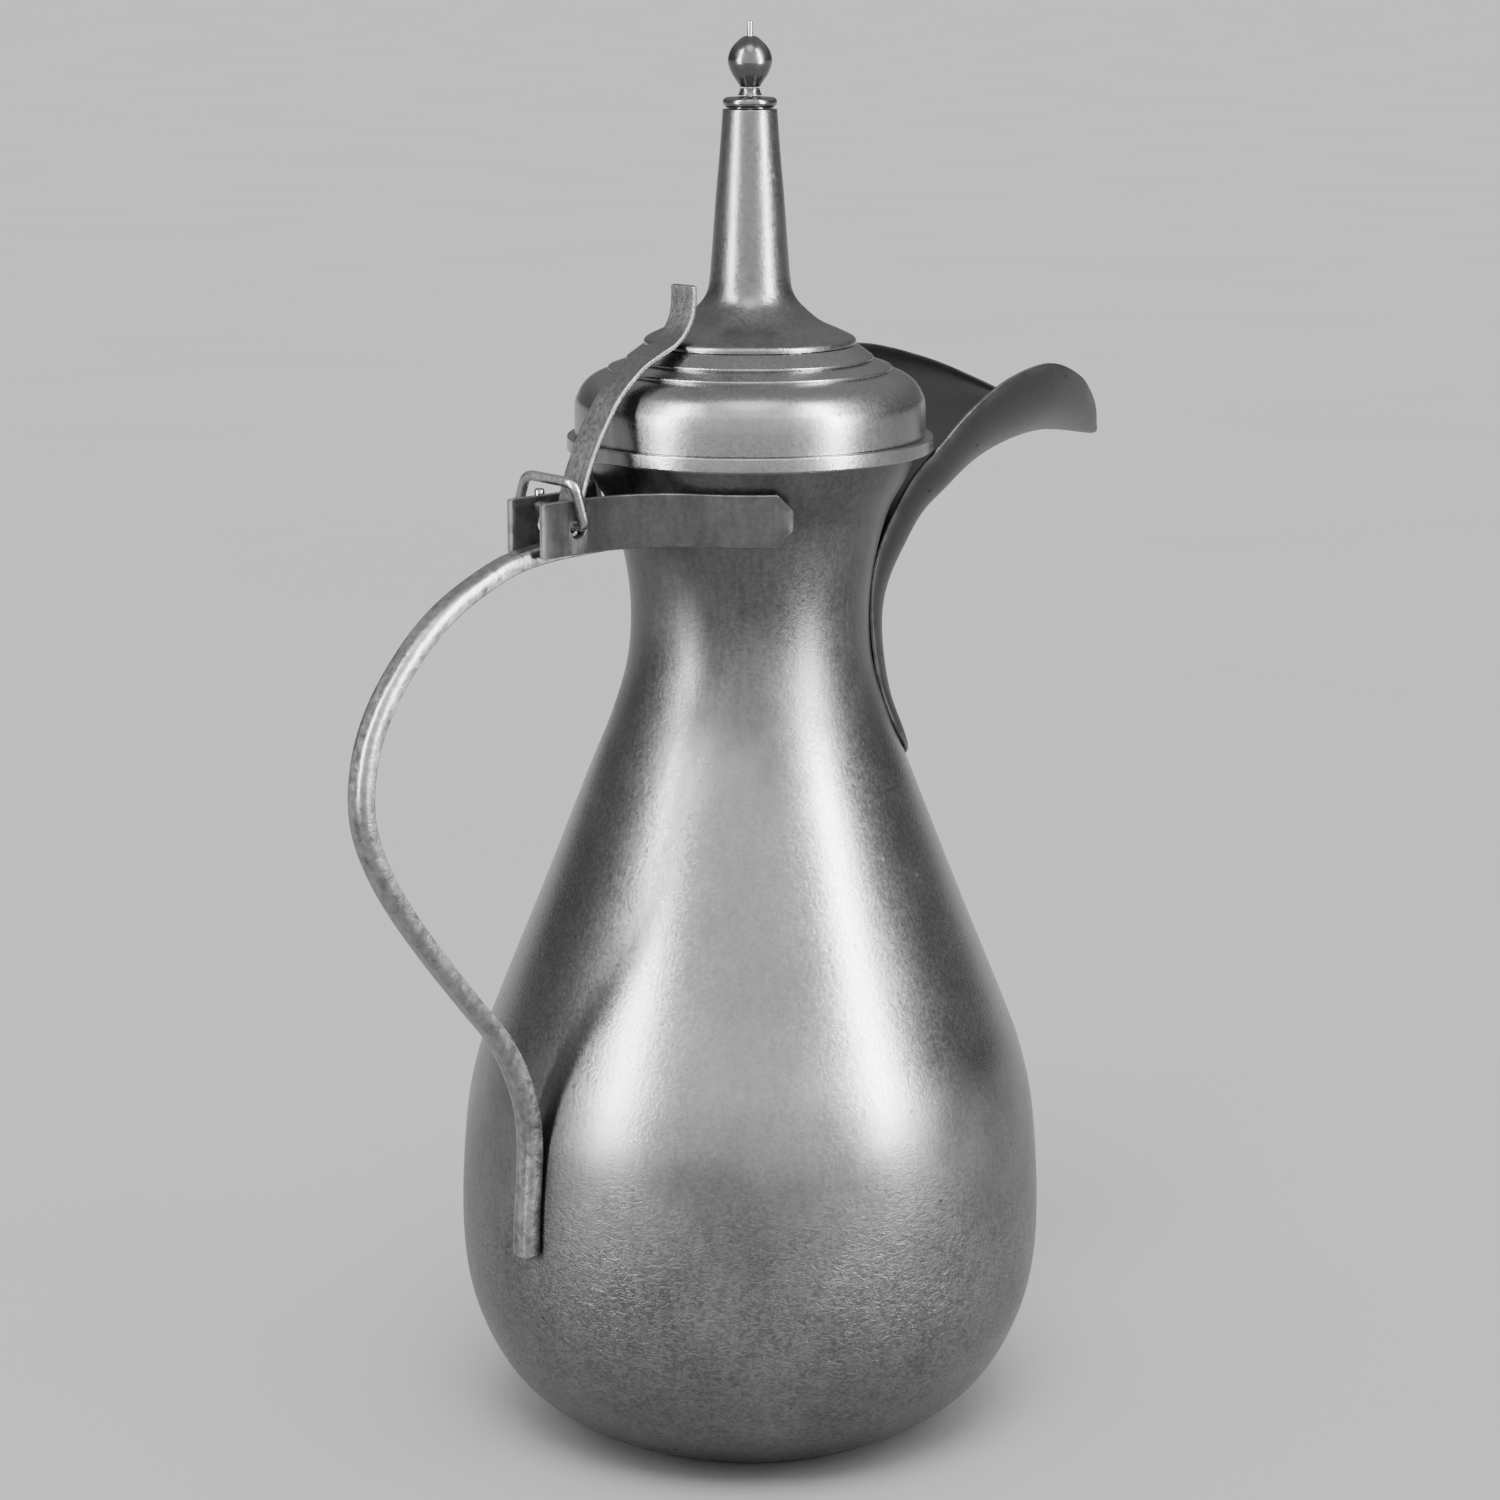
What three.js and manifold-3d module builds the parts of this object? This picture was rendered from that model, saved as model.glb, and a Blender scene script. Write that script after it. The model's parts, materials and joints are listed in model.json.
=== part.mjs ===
// Dallah coffee pot with a hinged lid, a bent-wire hinge and an open beak spout.
// Millimetres, +Z up. The origin is on the pot's axis in the plane that it stands on,
// +X points along the spout and -X towards the handle.
import * as THREE from "three";
import { mergeVertices } from "three/addons/utils/BufferGeometryUtils.js";
import Module from "manifold-3d";

const wasm = await Module();
wasm.setup();

// ---- driving dimensions -------------------------------------------------------------------

const GAP = 0.3; // clearance between neighbouring pieces
const SHEET = 1.25; // thickness of the body, lid and strap sheet

// Outer profile of the body as [radius, height], from the base edge to the rim.
const BODY_PROFILE = [
  [38, 0],
  [49.4, 5.9],
  [58.8, 14],
  [65.5, 25],
  [69.6, 38],
  [70.8, 55],
  [69.4, 78],
  [66.4, 93],
  [61.5, 106.5],
  [50.3, 134],
  [39.3, 162],
  [33.4, 176.5],
  [29.6, 189],
  [28.5, 201],
  [29.5, 213],
  [32.8, 226],
  [37, 234],
  [39.6, 240.4],
];
const RIM_Z = BODY_PROFILE.at(-1)[1];
const BASE_PLATE_R = BODY_PROFILE[0][0] - GAP;
const BODY_STEPS = 22; // profile steps of the body's solid
const BODY_SEGMENTS = 48;

// Arched opening in the neck wall behind the spout.
const POUR_HALF_WIDTH = 13;
const POUR_BOTTOM = 174;
const POUR_TOP = 232;
const POUR_CORNER_R = 6;

// The spout's sheet lies on the neck up to the rim, then spreads into a beak.
const SPOUT_SHEET = 1.2;
const SPOUT_STAND_OFF = 1; // outer face of the sheet's edge above the neck
const SPOUT_ROOT = [
  // edge angle from +X in degrees, edge height, keel x, keel height
  [3, 161, 41.2, 161.1],
  [15, 161.9, 40.8, 161.8],
  [27, 164, 40.1, 163.5],
  [37, 167.2, 39, 166.2],
  [45, 172, 37.3, 170],
  [47.5, 184, 35, 177.5],
  [47.5, 203, 33, 195],
  [46.5, 214, 35.2, 203.6],
];
const SPOUT_BEAK = [
  // edge x, half width, edge height, keel x, keel height
  [24.6, 24.8, 225.5, 39, 211.5],
  [27.4, 28, 233.5, 42.6, 219.1],
  [31.8, 32.4, 241, 48.4, 224.5],
  [37.9, 34, 247, 55.1, 229.1],
  [45, 34.5, 251.6, 62.7, 232],
  [55, 34.5, 255.8, 70.7, 234.1],
  [70, 32.5, 257.7, 84, 236.2],
  [88.6, 25.8, 252.9, 97.4, 236.4],
  [99.4, 20, 247.8, 104.4, 235.7],
  [108.6, 14, 242.4, 111, 234.9],
  [116, 8, 237.5, 117.1, 233.8],
  [121.8, 3.2, 234.3, 122, 233],
];
const SPOUT_ROOT_ARC = 80; // half-angle in degrees of a section's curve on the neck
const SPOUT_BEAK_ARC = 90; // half-angle in the beak, where a section is half an ellipse
const SPOUT_ARC_CHANGE = [5, 8]; // stations between which the half-angle changes
const SPOUT_STEPS = 28;
const SPOUT_FACETS = 12;

// Hinge: the wire's axis, the straps with their ears, and the lid's lever.
const HINGE_X = -59.2;
const HINGE_Z = 229;
const WIRE_R = 1.2;
const STRAP_BOTTOM = 222.7;
const STRAP_HEIGHT = 12.6;
const EAR_INNER_Y = 4.95;
const EAR_END_X = -70.3;
const EAR_HOLE_R = 2.2;
const EAR_HOLE_OFFSET = -0.4; // the worn hole has drifted out and down from the wire
const WRAP_R = 38.2; // inner radius where the strap lies on the neck
const WRAP_END_DEG = 61; // end of the strap, measured from -X
const STRAP_FILLET = 28; // bend between the ear and the neck
const STRAP_LEAN = Math.tan(THREE.MathUtils.degToRad(9));
const STRAP_LEAN_RADII = [52, 41]; // the lean fades in between these radii
const STRAP_CHAMFER = 4;
const CUTTER_LENGTH = 14; // a cutter's length across the strap's sheet
const LEVER_WIDTH = 7.8;
const LEVER_SHEET = 1.2;
const HOOK_R = WIRE_R + GAP + LEVER_SHEET / 2; // middle of the hook's sheet around the wire

// Middle line of the lever as [x, z]: the hook's free tip, then from the hook up to the thumb tab.
const HOOK_TIP = [
  [-63.7, 234.2],
  [-63.1, 232.2],
];
const LEVER_PATH = [
  [-56.2, 234.5],
  [-54.6, 239.3],
  [-52.8, 243.3],
  [-50.5, 247.8],
  [-47.7, 252.1],
  [-44.5, 256.5],
  [-40.4, 260.3],
  [-36.3, 263.2],
  [-31.8, 265.3],
  [-27.1, 267.3],
  [-23.9, 270],
  [-21.8, 273.5],
  [-21.2, 277],
  [-21.2, 280.6],
];

// Middle line of the handle bar as [x, z], from the neck round to its soldered foot.
const HANDLE_PATH = [
  [-35, 223.9],
  [-50, 223.8],
  [-65.8, 223.1],
  [-75.6, 221.5],
  [-84, 218.4],
  [-93.2, 213.8],
  [-101, 208],
  [-107.5, 201.3],
  [-113, 193.8],
  [-117, 185],
  [-118.7, 175],
  [-118.1, 167.4],
  [-115.2, 159],
  [-109.5, 148.8],
  [-99.9, 135.5],
  [-88.6, 121.5],
  [-80.5, 111.5],
  [-75.4, 102],
  [-72.6, 93.5],
  [-71.7, 85],
  [-72, 77],
  [-72.9, 66],
  [-73.2, 57.5],
];
const HANDLE_HALF_WIDTH = 3.2;
const HANDLE_THICKNESS = 3.9;
const HANDLE_CREST = 0.45; // flat share of the outer side's width
const HANDLE_SHOULDER = 0.1; // where the rounding starts, as a share of the half thickness

// The wire as [x, y, z] corners: stub behind the far ear, axis, near leg, bar, sprung far leg.
const WIRE_CORNERS = [
  [-58.9, 8, 236.3],
  [HINGE_X, 8, HINGE_Z],
  [HINGE_X, -8, HINGE_Z],
  [-62.3, -7.9, 239.4],
  [-62.9, 8, 239.9],
  [-61.5, 12.8, 231.2],
];
const WIRE_BEND = 2.6; // how far from a corner the bend starts
const SWEEP_STEPS = 52; // steps along the handle, the wire and the lever

// Lid, from the flange up.
const FLANGE_R = 43.3;
const FLANGE_BOTTOM = RIM_Z + GAP;
const FLANGE_TOP = 244.1;
const COLLAR_R = 34;
const COLLAR_BOTTOM = 235;
const DOME_R = 41.4;
const FLANGE_LIP_R = DOME_R - 4; // where the hollow under the flange's edge ends

// Wall, shoulder and sloping roof of the dome, up to the opening under the spire.
const DOME_LINE = [
  [DOME_R, FLANGE_TOP + GAP],
  [DOME_R, 251.2],
  [40.6, 254],
  [38.9, 256.6],
  [36.4, 258.4],
  [33, 259.7],
  [28, 261.5],
  [21, 263.9],
];

// Two thin rings stepped up the dome's roof.
const LOWER_STEP = [
  [24, 263.3],
  [33.4, 259.95],
  [33.5, 260.6],
  [33.2, 260.9],
  [24, 264.2],
];
const UPPER_STEP = [
  [22, 264.8],
  [23.6, 264.7],
  [29, 262.75],
  [29.1, 263],
  [28.9, 263.3],
  [25.4, 265.5],
  [24.6, 265.7],
  [22, 265.4],
];

// Flared skirt running up into the tapered spire.
const SPIRE_LINE = [
  [25.05, 266],
  [24.6, 267],
  [21, 268.8],
  [16.8, 270.7],
  [13.2, 273.6],
  [10.8, 276.3],
  [9.7, 279.5],
  [9, 287],
  [8.1, 299],
  [7.2, 309],
  [6.37, 319.9],
];
const SPIRE_TOP = SPIRE_LINE.at(-1)[1];
const SPIRE_SHEET = 1;
const ROD_R = 0.7;
const BORE_R = ROD_R + GAP;
const ROD_TOP = 340;
const ROD_HEAD_R = 1.6;
const ROD_HEAD_HEIGHT = 1;

// Outlines of the pieces threaded on the rod above the spire.
const SPIRE_COLLAR_BOTTOM = SPIRE_TOP + GAP;
const SPIRE_COLLAR_HEIGHT = 2.5;
const BEAD_R = 1.15;
const BEAD_REACH = 5.2; // radius of the bead's centre circle
const FINIAL_NECK_BOTTOM = SPIRE_COLLAR_BOTTOM + SPIRE_COLLAR_HEIGHT + GAP;
const FINIAL_NECK_LINE = [
  [2.9, 0],
  [2.6, 0.4],
  [2.3, 1.2],
  [2.4, 1.6],
];
const BALL_LINE = [
  [2.3, 324.9],
  [3.2, 326.3],
  [4.3, 328],
  [5.15, 330.4],
  [4.9, 332.4],
  [4, 334.2],
  [2.4, 335.8],
  [1.4, 336.5],
];

// A washer inside the spire holds the rod, whose lower end is peened over it.
const WASHER_TOP = SPIRE_TOP - SPIRE_SHEET - GAP;
const WASHER_THICKNESS = 1;
const WASHER_R = 4;

// Fineness of the turned pieces.
const LID_SEGMENTS = 36;
const SPIRE_SEGMENTS = 24;
const FINIAL_SEGMENTS = 18;
const ROD_SEGMENTS = 12;
const DOME_STEPS = 11;
const SPIRE_STEPS = 16;
const BALL_STEPS = 10;

// ---- materials ------------------------------------------------------------------------------

const metal = (color, roughness) =>
  new THREE.MeshStandardMaterial({ color, roughness, metalness: 1 });
const PEWTER = metal(0x9a9a9c, 0.38);
const WORN_STEEL = metal(0x8c8c8e, 0.45);
const BRIGHT_WIRE = metal(0xa8a8aa, 0.32);

// ---- helpers --------------------------------------------------------------------------------

const vectors = (points) => points.map(([a, b]) => new THREE.Vector2(a, b));

// Keeps only merged positions, and turns the faces outwards.
function closed(geometry) {
  geometry.deleteAttribute("normal");
  geometry.deleteAttribute("uv");
  const merged = mergeVertices(geometry, 1e-4);
  const position = merged.getAttribute("position");
  const index = Array.from(merged.getIndex().array);
  const a = new THREE.Vector3();
  const b = new THREE.Vector3();
  const c = new THREE.Vector3();
  const faces = [];
  let volume = 0;
  for (let i = 0; i < index.length; i += 3) {
    const [p, q, r] = index.slice(i, i + 3);
    if (p === q || q === r || r === p) continue;
    faces.push(p, q, r);
    a.fromBufferAttribute(position, p);
    b.fromBufferAttribute(position, q);
    c.fromBufferAttribute(position, r);
    volume += a.dot(b.cross(c));
  }
  if (volume < 0) faces.reverse();
  merged.setIndex(faces);
  return merged;
}

function toManifold(geometry) {
  return new wasm.Manifold(
    new wasm.Mesh({
      numProp: 3,
      vertProperties: new Float32Array(geometry.getAttribute("position").array),
      triVerts: new Uint32Array(geometry.getIndex().array),
    }),
  );
}

const CUT_TOLERANCE = 0.005; // slivers smaller than this are merged away after a cut

function subtract(geometry, ...cutters) {
  let solid = toManifold(geometry);
  for (const cutter of cutters) {
    solid = solid.subtract(toManifold(cutter));
  }
  const mesh = solid.setTolerance(CUT_TOLERANCE).getMesh();
  const result = new THREE.BufferGeometry();
  result.setAttribute("position", new THREE.Float32BufferAttribute(mesh.vertProperties, 3));
  result.setIndex(Array.from(mesh.triVerts));
  return result;
}

// Revolves a closed [radius, height] outline, or one that starts and ends on the axis.
function turned(outline, segments) {
  const geometry = new THREE.LatheGeometry(outline, segments);
  geometry.rotateX(Math.PI / 2);
  return closed(geometry);
}

function ring(outline, segments) {
  const points = vectors(outline);
  return turned([...points, points[0].clone()], segments);
}

// Points on a smooth curve through [a, b] pairs, with the normal on its left.
function smoothLine(pairs, steps) {
  const curve = new THREE.SplineCurve(vectors(pairs));
  const points = [];
  for (let i = 0; i <= steps; i += 1) {
    const point = curve.getPointAt(i / steps);
    const tangent = curve.getTangentAt(i / steps);
    points.push({ point, normal: new THREE.Vector2(-tangent.y, tangent.x) });
  }
  return points;
}

// A sheet's section: one side of the line, then back along the other side.
function sheetOutline(line, left, right) {
  const side = (offset) => line.map((s) => s.point.clone().addScaledVector(s.normal, offset));
  return [...side(left), ...side(-right).reverse()];
}

// Extrudes an [x, z] outline symmetrically about the plane y = 0.
function plateInXZ(outline, width) {
  const geometry = new THREE.ExtrudeGeometry(new THREE.Shape(outline), {
    depth: width,
    bevelEnabled: false,
  });
  geometry.translate(0, 0, -width / 2);
  geometry.rotateX(Math.PI / 2);
  return closed(geometry);
}

function arc(centreX, centreZ, radius, fromDeg, toDeg, steps) {
  const points = [];
  for (let i = 0; i <= steps; i += 1) {
    const angle = THREE.MathUtils.degToRad(fromDeg + ((toDeg - fromDeg) * i) / steps);
    points.push([centreX + radius * Math.cos(angle), centreZ + radius * Math.sin(angle)]);
  }
  return points;
}

// ---- body -----------------------------------------------------------------------------------

const bodyCurve = new THREE.SplineCurve(vectors(BODY_PROFILE));
const bodySamples = bodyCurve.getPoints(400);

function bodyRadius(z) {
  const after = bodySamples.findIndex((p) => p.y >= z);
  const [low, high] = [bodySamples[Math.max(after - 1, 0)], bodySamples[Math.max(after, 1)]];
  return low.x + ((high.x - low.x) * (z - low.y)) / (high.y - low.y);
}

function bodySheet() {
  const outline = sheetOutline(smoothLine(BODY_PROFILE, BODY_STEPS), SHEET, 0);
  // The rim and the base edge are filed level.
  outline[BODY_STEPS].y = RIM_Z;
  outline[0].set(BODY_PROFILE[0][0], SHEET);
  return turned([...outline, outline[0].clone()], BODY_SEGMENTS);
}

function pourCutter() {
  const shape = new THREE.Shape();
  const [w, r] = [POUR_HALF_WIDTH, POUR_CORNER_R];
  shape.moveTo(-w, POUR_BOTTOM + w);
  shape.absarc(0, POUR_BOTTOM + w, w, Math.PI, 2 * Math.PI, false);
  shape.absarc(w - r, POUR_TOP - r, r, 0, Math.PI / 2, false);
  shape.absarc(r - w, POUR_TOP - r, r, Math.PI / 2, Math.PI, false);
  const depth = BODY_PROFILE.at(-1)[0] + POUR_CORNER_R; // from the axis to outside the neck
  const geometry = new THREE.ExtrudeGeometry(shape, { depth, bevelEnabled: false });
  geometry.rotateX(Math.PI / 2);
  geometry.rotateZ(Math.PI / 2);
  return closed(geometry);
}

function basePlate() {
  const geometry = new THREE.CylinderGeometry(BASE_PLATE_R, BASE_PLATE_R, SHEET, BODY_SEGMENTS);
  geometry.rotateX(Math.PI / 2);
  geometry.translate(0, 0, SHEET / 2);
  return closed(geometry);
}

// ---- spout ----------------------------------------------------------------------------------

function spoutStations() {
  const edge = [];
  const keel = [];
  for (const [degrees, z, keelX, keelZ] of SPOUT_ROOT) {
    const angle = THREE.MathUtils.degToRad(degrees);
    const radius = bodyRadius(z) + SPOUT_STAND_OFF;
    edge.push(new THREE.Vector3(radius * Math.cos(angle), radius * Math.sin(angle), z));
    keel.push(new THREE.Vector3(keelX, 0, keelZ));
  }
  for (const [x, halfWidth, z, keelX, keelZ] of SPOUT_BEAK) {
    edge.push(new THREE.Vector3(x, halfWidth, z));
    keel.push(new THREE.Vector3(keelX, 0, keelZ));
  }
  return [new THREE.CatmullRomCurve3(edge), new THREE.CatmullRomCurve3(keel)];
}

// Each cross-section is an arc from edge to edge through the keel.
function spoutSheet() {
  const [edge, keel] = spoutStations();
  const grid = [];
  for (let i = 0; i <= SPOUT_STEPS; i += 1) {
    const station = (i / SPOUT_STEPS) * (edge.points.length - 1);
    const blend = THREE.MathUtils.smoothstep(station, ...SPOUT_ARC_CHANGE);
    const degrees = THREE.MathUtils.lerp(SPOUT_ROOT_ARC, SPOUT_BEAK_ARC, blend);
    const half = THREE.MathUtils.degToRad(degrees);
    const rim = edge.getPoint(i / SPOUT_STEPS);
    const middle = new THREE.Vector3(rim.x, 0, rim.z);
    const drop = keel.getPoint(i / SPOUT_STEPS).sub(middle);
    const row = [];
    for (let j = 0; j <= SPOUT_FACETS; j += 1) {
      const turn = half * ((2 * j) / SPOUT_FACETS - 1);
      const share = (Math.cos(turn) - Math.cos(half)) / (1 - Math.cos(half));
      const point = middle.clone().addScaledVector(drop, share);
      point.y = (rim.y * Math.sin(turn)) / Math.sin(half);
      row.push(point);
    }
    grid.push(row);
  }
  return thickened(grid, SPOUT_SHEET);
}

// Gives an open grid of points a thickness towards its hollow side, and closes it all round.
function thickened(grid, thickness) {
  const rows = grid.length;
  const columns = grid[0].length;
  const at = (i, j) =>
    grid[THREE.MathUtils.clamp(i, 0, rows - 1)][THREE.MathUtils.clamp(j, 0, columns - 1)];
  const positions = [];
  const along = new THREE.Vector3();
  const across = new THREE.Vector3();
  for (const offset of [0, thickness]) {
    for (let i = 0; i < rows; i += 1) {
      for (let j = 0; j < columns; j += 1) {
        along.subVectors(at(i + 1, j), at(i - 1, j));
        across.subVectors(at(i, j + 1), at(i, j - 1));
        const normal = along.cross(across).normalize();
        const point = at(i, j).clone().addScaledVector(normal, offset);
        positions.push(point.x, point.y, point.z);
      }
    }
  }
  const faces = [];
  const layer = rows * columns;
  const quad = (a, b, c, d) => faces.push(a, b, c, a, c, d);
  for (let i = 0; i < rows - 1; i += 1) {
    for (let j = 0; j < columns - 1; j += 1) {
      const a = i * columns + j;
      quad(a, a + 1, a + columns + 1, a + columns);
      quad(layer + a, layer + a + columns, layer + a + columns + 1, layer + a + 1);
    }
  }
  for (let i = 0; i < rows - 1; i += 1) {
    const a = i * columns;
    const b = a + columns - 1;
    quad(a, a + columns, layer + a + columns, layer + a);
    quad(b, layer + b, layer + b + columns, b + columns);
  }
  for (let j = 0; j < columns - 1; j += 1) {
    const a = j;
    const b = (rows - 1) * columns + j;
    quad(a, layer + a, layer + a + 1, a + 1);
    quad(b, b + 1, layer + b + 1, layer + b);
  }
  const geometry = new THREE.BufferGeometry();
  geometry.setAttribute("position", new THREE.Float32BufferAttribute(positions, 3));
  geometry.setIndex(faces);
  return closed(geometry);
}

// A solid copy of the body's outside, a gap larger, that trims the spout to the neck.
function bodyClearance() {
  const line = smoothLine(BODY_PROFILE, BODY_STEPS);
  const outline = line.map((s) => s.point.clone().addScaledVector(s.normal, -GAP));
  const top = outline.at(-1);
  return turned(
    [new THREE.Vector2(0, outline[0].y), ...outline, new THREE.Vector2(0, top.y)],
    BODY_SEGMENTS,
  );
}

// ---- straps, handle and wire ----------------------------------------------------------------

// Plan of a strap's inner face on the -Y side: straight ear, bend, then round the neck.
function strapPlan(offset) {
  const inner = EAR_INNER_Y;
  const bend = STRAP_FILLET;
  const centreY = -(inner + bend);
  const reach = WRAP_R + bend;
  const centreX = -Math.sqrt(reach * reach - centreY * centreY);
  const tangentDeg = THREE.MathUtils.radToDeg(Math.atan2(-centreY, -centreX));
  return [
    [EAR_END_X, -inner - offset],
    [HINGE_X, -inner - offset],
    ...arc(centreX, centreY, bend - offset, 90, tangentDeg, 8),
    ...arc(0, 0, WRAP_R + offset, 180 + tangentDeg, 180 + WRAP_END_DEG, 10).slice(1),
  ];
}

// Tilts the wrapped part of a strap inwards below its top edge, as the neck narrows.
function leanToNeck(geometry) {
  const position = geometry.getAttribute("position");
  const [none, full] = STRAP_LEAN_RADII;
  for (let i = 0; i < position.count; i += 1) {
    const [x, y, z] = [position.getX(i), position.getY(i), position.getZ(i)];
    const radius = Math.hypot(x, y);
    const share = 1 - THREE.MathUtils.smoothstep(radius, full, none);
    const below = STRAP_BOTTOM + STRAP_HEIGHT - z;
    const scale = 1 - (share * below * STRAP_LEAN) / radius;
    position.setXYZ(i, x * scale, y * scale, z);
  }
  return geometry;
}

function chamferCutter(upward) {
  const angle = THREE.MathUtils.degToRad(180 + WRAP_END_DEG);
  const size = STRAP_CHAMFER * Math.SQRT2;
  const geometry = new THREE.BoxGeometry(CUTTER_LENGTH, size, size);
  geometry.rotateX(Math.PI / 4);
  geometry.rotateZ(angle);
  const radius = WRAP_R - (upward ? 0 : STRAP_HEIGHT * STRAP_LEAN);
  const z = upward ? STRAP_BOTTOM + STRAP_HEIGHT : STRAP_BOTTOM;
  geometry.translate(radius * Math.cos(angle), radius * Math.sin(angle), z);
  return closed(geometry);
}

function earHoleCutter() {
  const geometry = new THREE.CylinderGeometry(EAR_HOLE_R, EAR_HOLE_R, CUTTER_LENGTH, 20);
  geometry.translate(HINGE_X + EAR_HOLE_OFFSET, 0, HINGE_Z + EAR_HOLE_OFFSET);
  return closed(geometry);
}

function neckStrap() {
  const outline = [...strapPlan(0), ...strapPlan(SHEET).reverse()];
  const geometry = new THREE.ExtrudeGeometry(new THREE.Shape(vectors(outline)), {
    depth: STRAP_HEIGHT,
    bevelEnabled: false,
  });
  geometry.translate(0, 0, STRAP_BOTTOM);
  const strap = leanToNeck(closed(geometry));
  return subtract(strap, chamferCutter(true), chamferCutter(false), earHoleCutter());
}

function mirroredInY(geometry) {
  return closed(geometry.clone().scale(1, -1, 1));
}

function pathInXZ(pairs) {
  return new THREE.CatmullRomCurve3(pairs.map(([x, z]) => new THREE.Vector3(x, 0, z)));
}

// The bar is flat towards the pot and rounded outside.
function handleBar() {
  const [w, t] = [HANDLE_HALF_WIDTH, HANDLE_THICKNESS / 2];
  const section = new THREE.Shape();
  section.moveTo(-w, -t);
  section.lineTo(w, -t);
  section.lineTo(w, t * HANDLE_SHOULDER);
  section.quadraticCurveTo(w, t, w * HANDLE_CREST, t);
  section.lineTo(-w * HANDLE_CREST, t);
  section.quadraticCurveTo(-w, t, -w, t * HANDLE_SHOULDER);
  const geometry = new THREE.ExtrudeGeometry(section, {
    steps: SWEEP_STEPS,
    curveSegments: 2,
    bevelEnabled: false,
    extrudePath: pathInXZ(HANDLE_PATH),
  });
  return closed(geometry);
}

function roundedPath(corners, bend) {
  const points = corners.map(([x, y, z]) => new THREE.Vector3(x, y, z));
  const path = new THREE.CurvePath();
  let start = points[0];
  for (let i = 1; i < points.length - 1; i += 1) {
    const before = points[i].clone().sub(start).setLength(bend);
    const after = points[i + 1].clone().sub(points[i]).setLength(bend);
    const entry = points[i].clone().sub(before);
    const exit = points[i].clone().add(after);
    path.add(new THREE.LineCurve3(start, entry));
    path.add(new THREE.QuadraticBezierCurve3(entry, points[i], exit));
    start = exit;
  }
  path.add(new THREE.LineCurve3(start, points.at(-1)));
  return path;
}

function hingeWire() {
  const geometry = new THREE.ExtrudeGeometry(
    new THREE.Shape(vectors(arc(0, 0, WIRE_R, 0, 315, 7))),
    { steps: SWEEP_STEPS, bevelEnabled: false, extrudePath: roundedPath(WIRE_CORNERS, WIRE_BEND) },
  );
  return closed(geometry);
}

// ---- lid ------------------------------------------------------------------------------------

function lever() {
  const hook = arc(HINGE_X, HINGE_Z, HOOK_R, 170, 370, 8);
  const line = smoothLine([...HOOK_TIP, ...hook, ...LEVER_PATH], SWEEP_STEPS);
  return plateInXZ(sheetOutline(line, LEVER_SHEET / 2, LEVER_SHEET / 2), LEVER_WIDTH);
}

function flange() {
  const inner = COLLAR_R - SHEET;
  const chamfer = 0.5;
  return ring(
    [
      [inner, FLANGE_BOTTOM],
      [FLANGE_R - chamfer, FLANGE_BOTTOM],
      [FLANGE_R, FLANGE_BOTTOM + chamfer],
      [FLANGE_R, FLANGE_TOP - chamfer],
      [FLANGE_R - chamfer, FLANGE_TOP],
      [FLANGE_LIP_R, FLANGE_TOP],
      [FLANGE_LIP_R, FLANGE_BOTTOM + SHEET],
      [inner, FLANGE_BOTTOM + SHEET],
    ],
    LID_SEGMENTS,
  );
}

function locatingCollar() {
  const [outer, top] = [COLLAR_R, FLANGE_BOTTOM - GAP];
  const leadIn = 0.8;
  return ring(
    [
      [outer - SHEET, COLLAR_BOTTOM],
      [outer - SHEET / 4, COLLAR_BOTTOM],
      [outer, COLLAR_BOTTOM + leadIn],
      [outer, top],
      [outer - SHEET, top],
    ],
    LID_SEGMENTS,
  );
}

function dome() {
  const outline = sheetOutline(smoothLine(DOME_LINE, DOME_STEPS), SHEET, 0);
  return turned([...outline, outline[0].clone()], LID_SEGMENTS);
}

// The spire's closed top carries the finial.
function spire() {
  const outline = sheetOutline(smoothLine(SPIRE_LINE, SPIRE_STEPS), SPIRE_SHEET, 0);
  const inside = outline.slice(0, SPIRE_STEPS + 1);
  const outside = outline.slice(SPIRE_STEPS + 1);
  inside[0].set(SPIRE_LINE[0][0] - SPIRE_SHEET, SPIRE_LINE[0][1]);
  inside[SPIRE_STEPS].y = SPIRE_TOP - SPIRE_SHEET;
  const bore = [
    new THREE.Vector2(BORE_R, SPIRE_TOP - SPIRE_SHEET),
    new THREE.Vector2(BORE_R, SPIRE_TOP),
  ];
  return turned([...inside, ...bore, ...outside, inside[0].clone()], SPIRE_SEGMENTS);
}

function spireCollar() {
  const [bottom, top] = [SPIRE_COLLAR_BOTTOM, SPIRE_COLLAR_BOTTOM + SPIRE_COLLAR_HEIGHT];
  return ring(
    [
      [BORE_R, bottom],
      [5.6, bottom],
      ...arc(BEAD_REACH, bottom + 1.2, BEAD_R, -75, 75, 4),
      [3.4, top],
      [BORE_R, top],
    ],
    SPIRE_SEGMENTS,
  );
}

function finialNeck() {
  const outside = FINIAL_NECK_LINE.map(([radius, rise]) => [radius, FINIAL_NECK_BOTTOM + rise]);
  return ring([[BORE_R, outside[0][1]], ...outside, [BORE_R, outside.at(-1)[1]]], FINIAL_SEGMENTS);
}

function finialBall() {
  const outer = smoothLine(BALL_LINE, BALL_STEPS).map((s) => s.point);
  const bore = [new THREE.Vector2(BORE_R, outer.at(-1).y), new THREE.Vector2(BORE_R, outer[0].y)];
  return turned([...outer, ...bore, outer[0].clone()], FINIAL_SEGMENTS);
}

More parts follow.
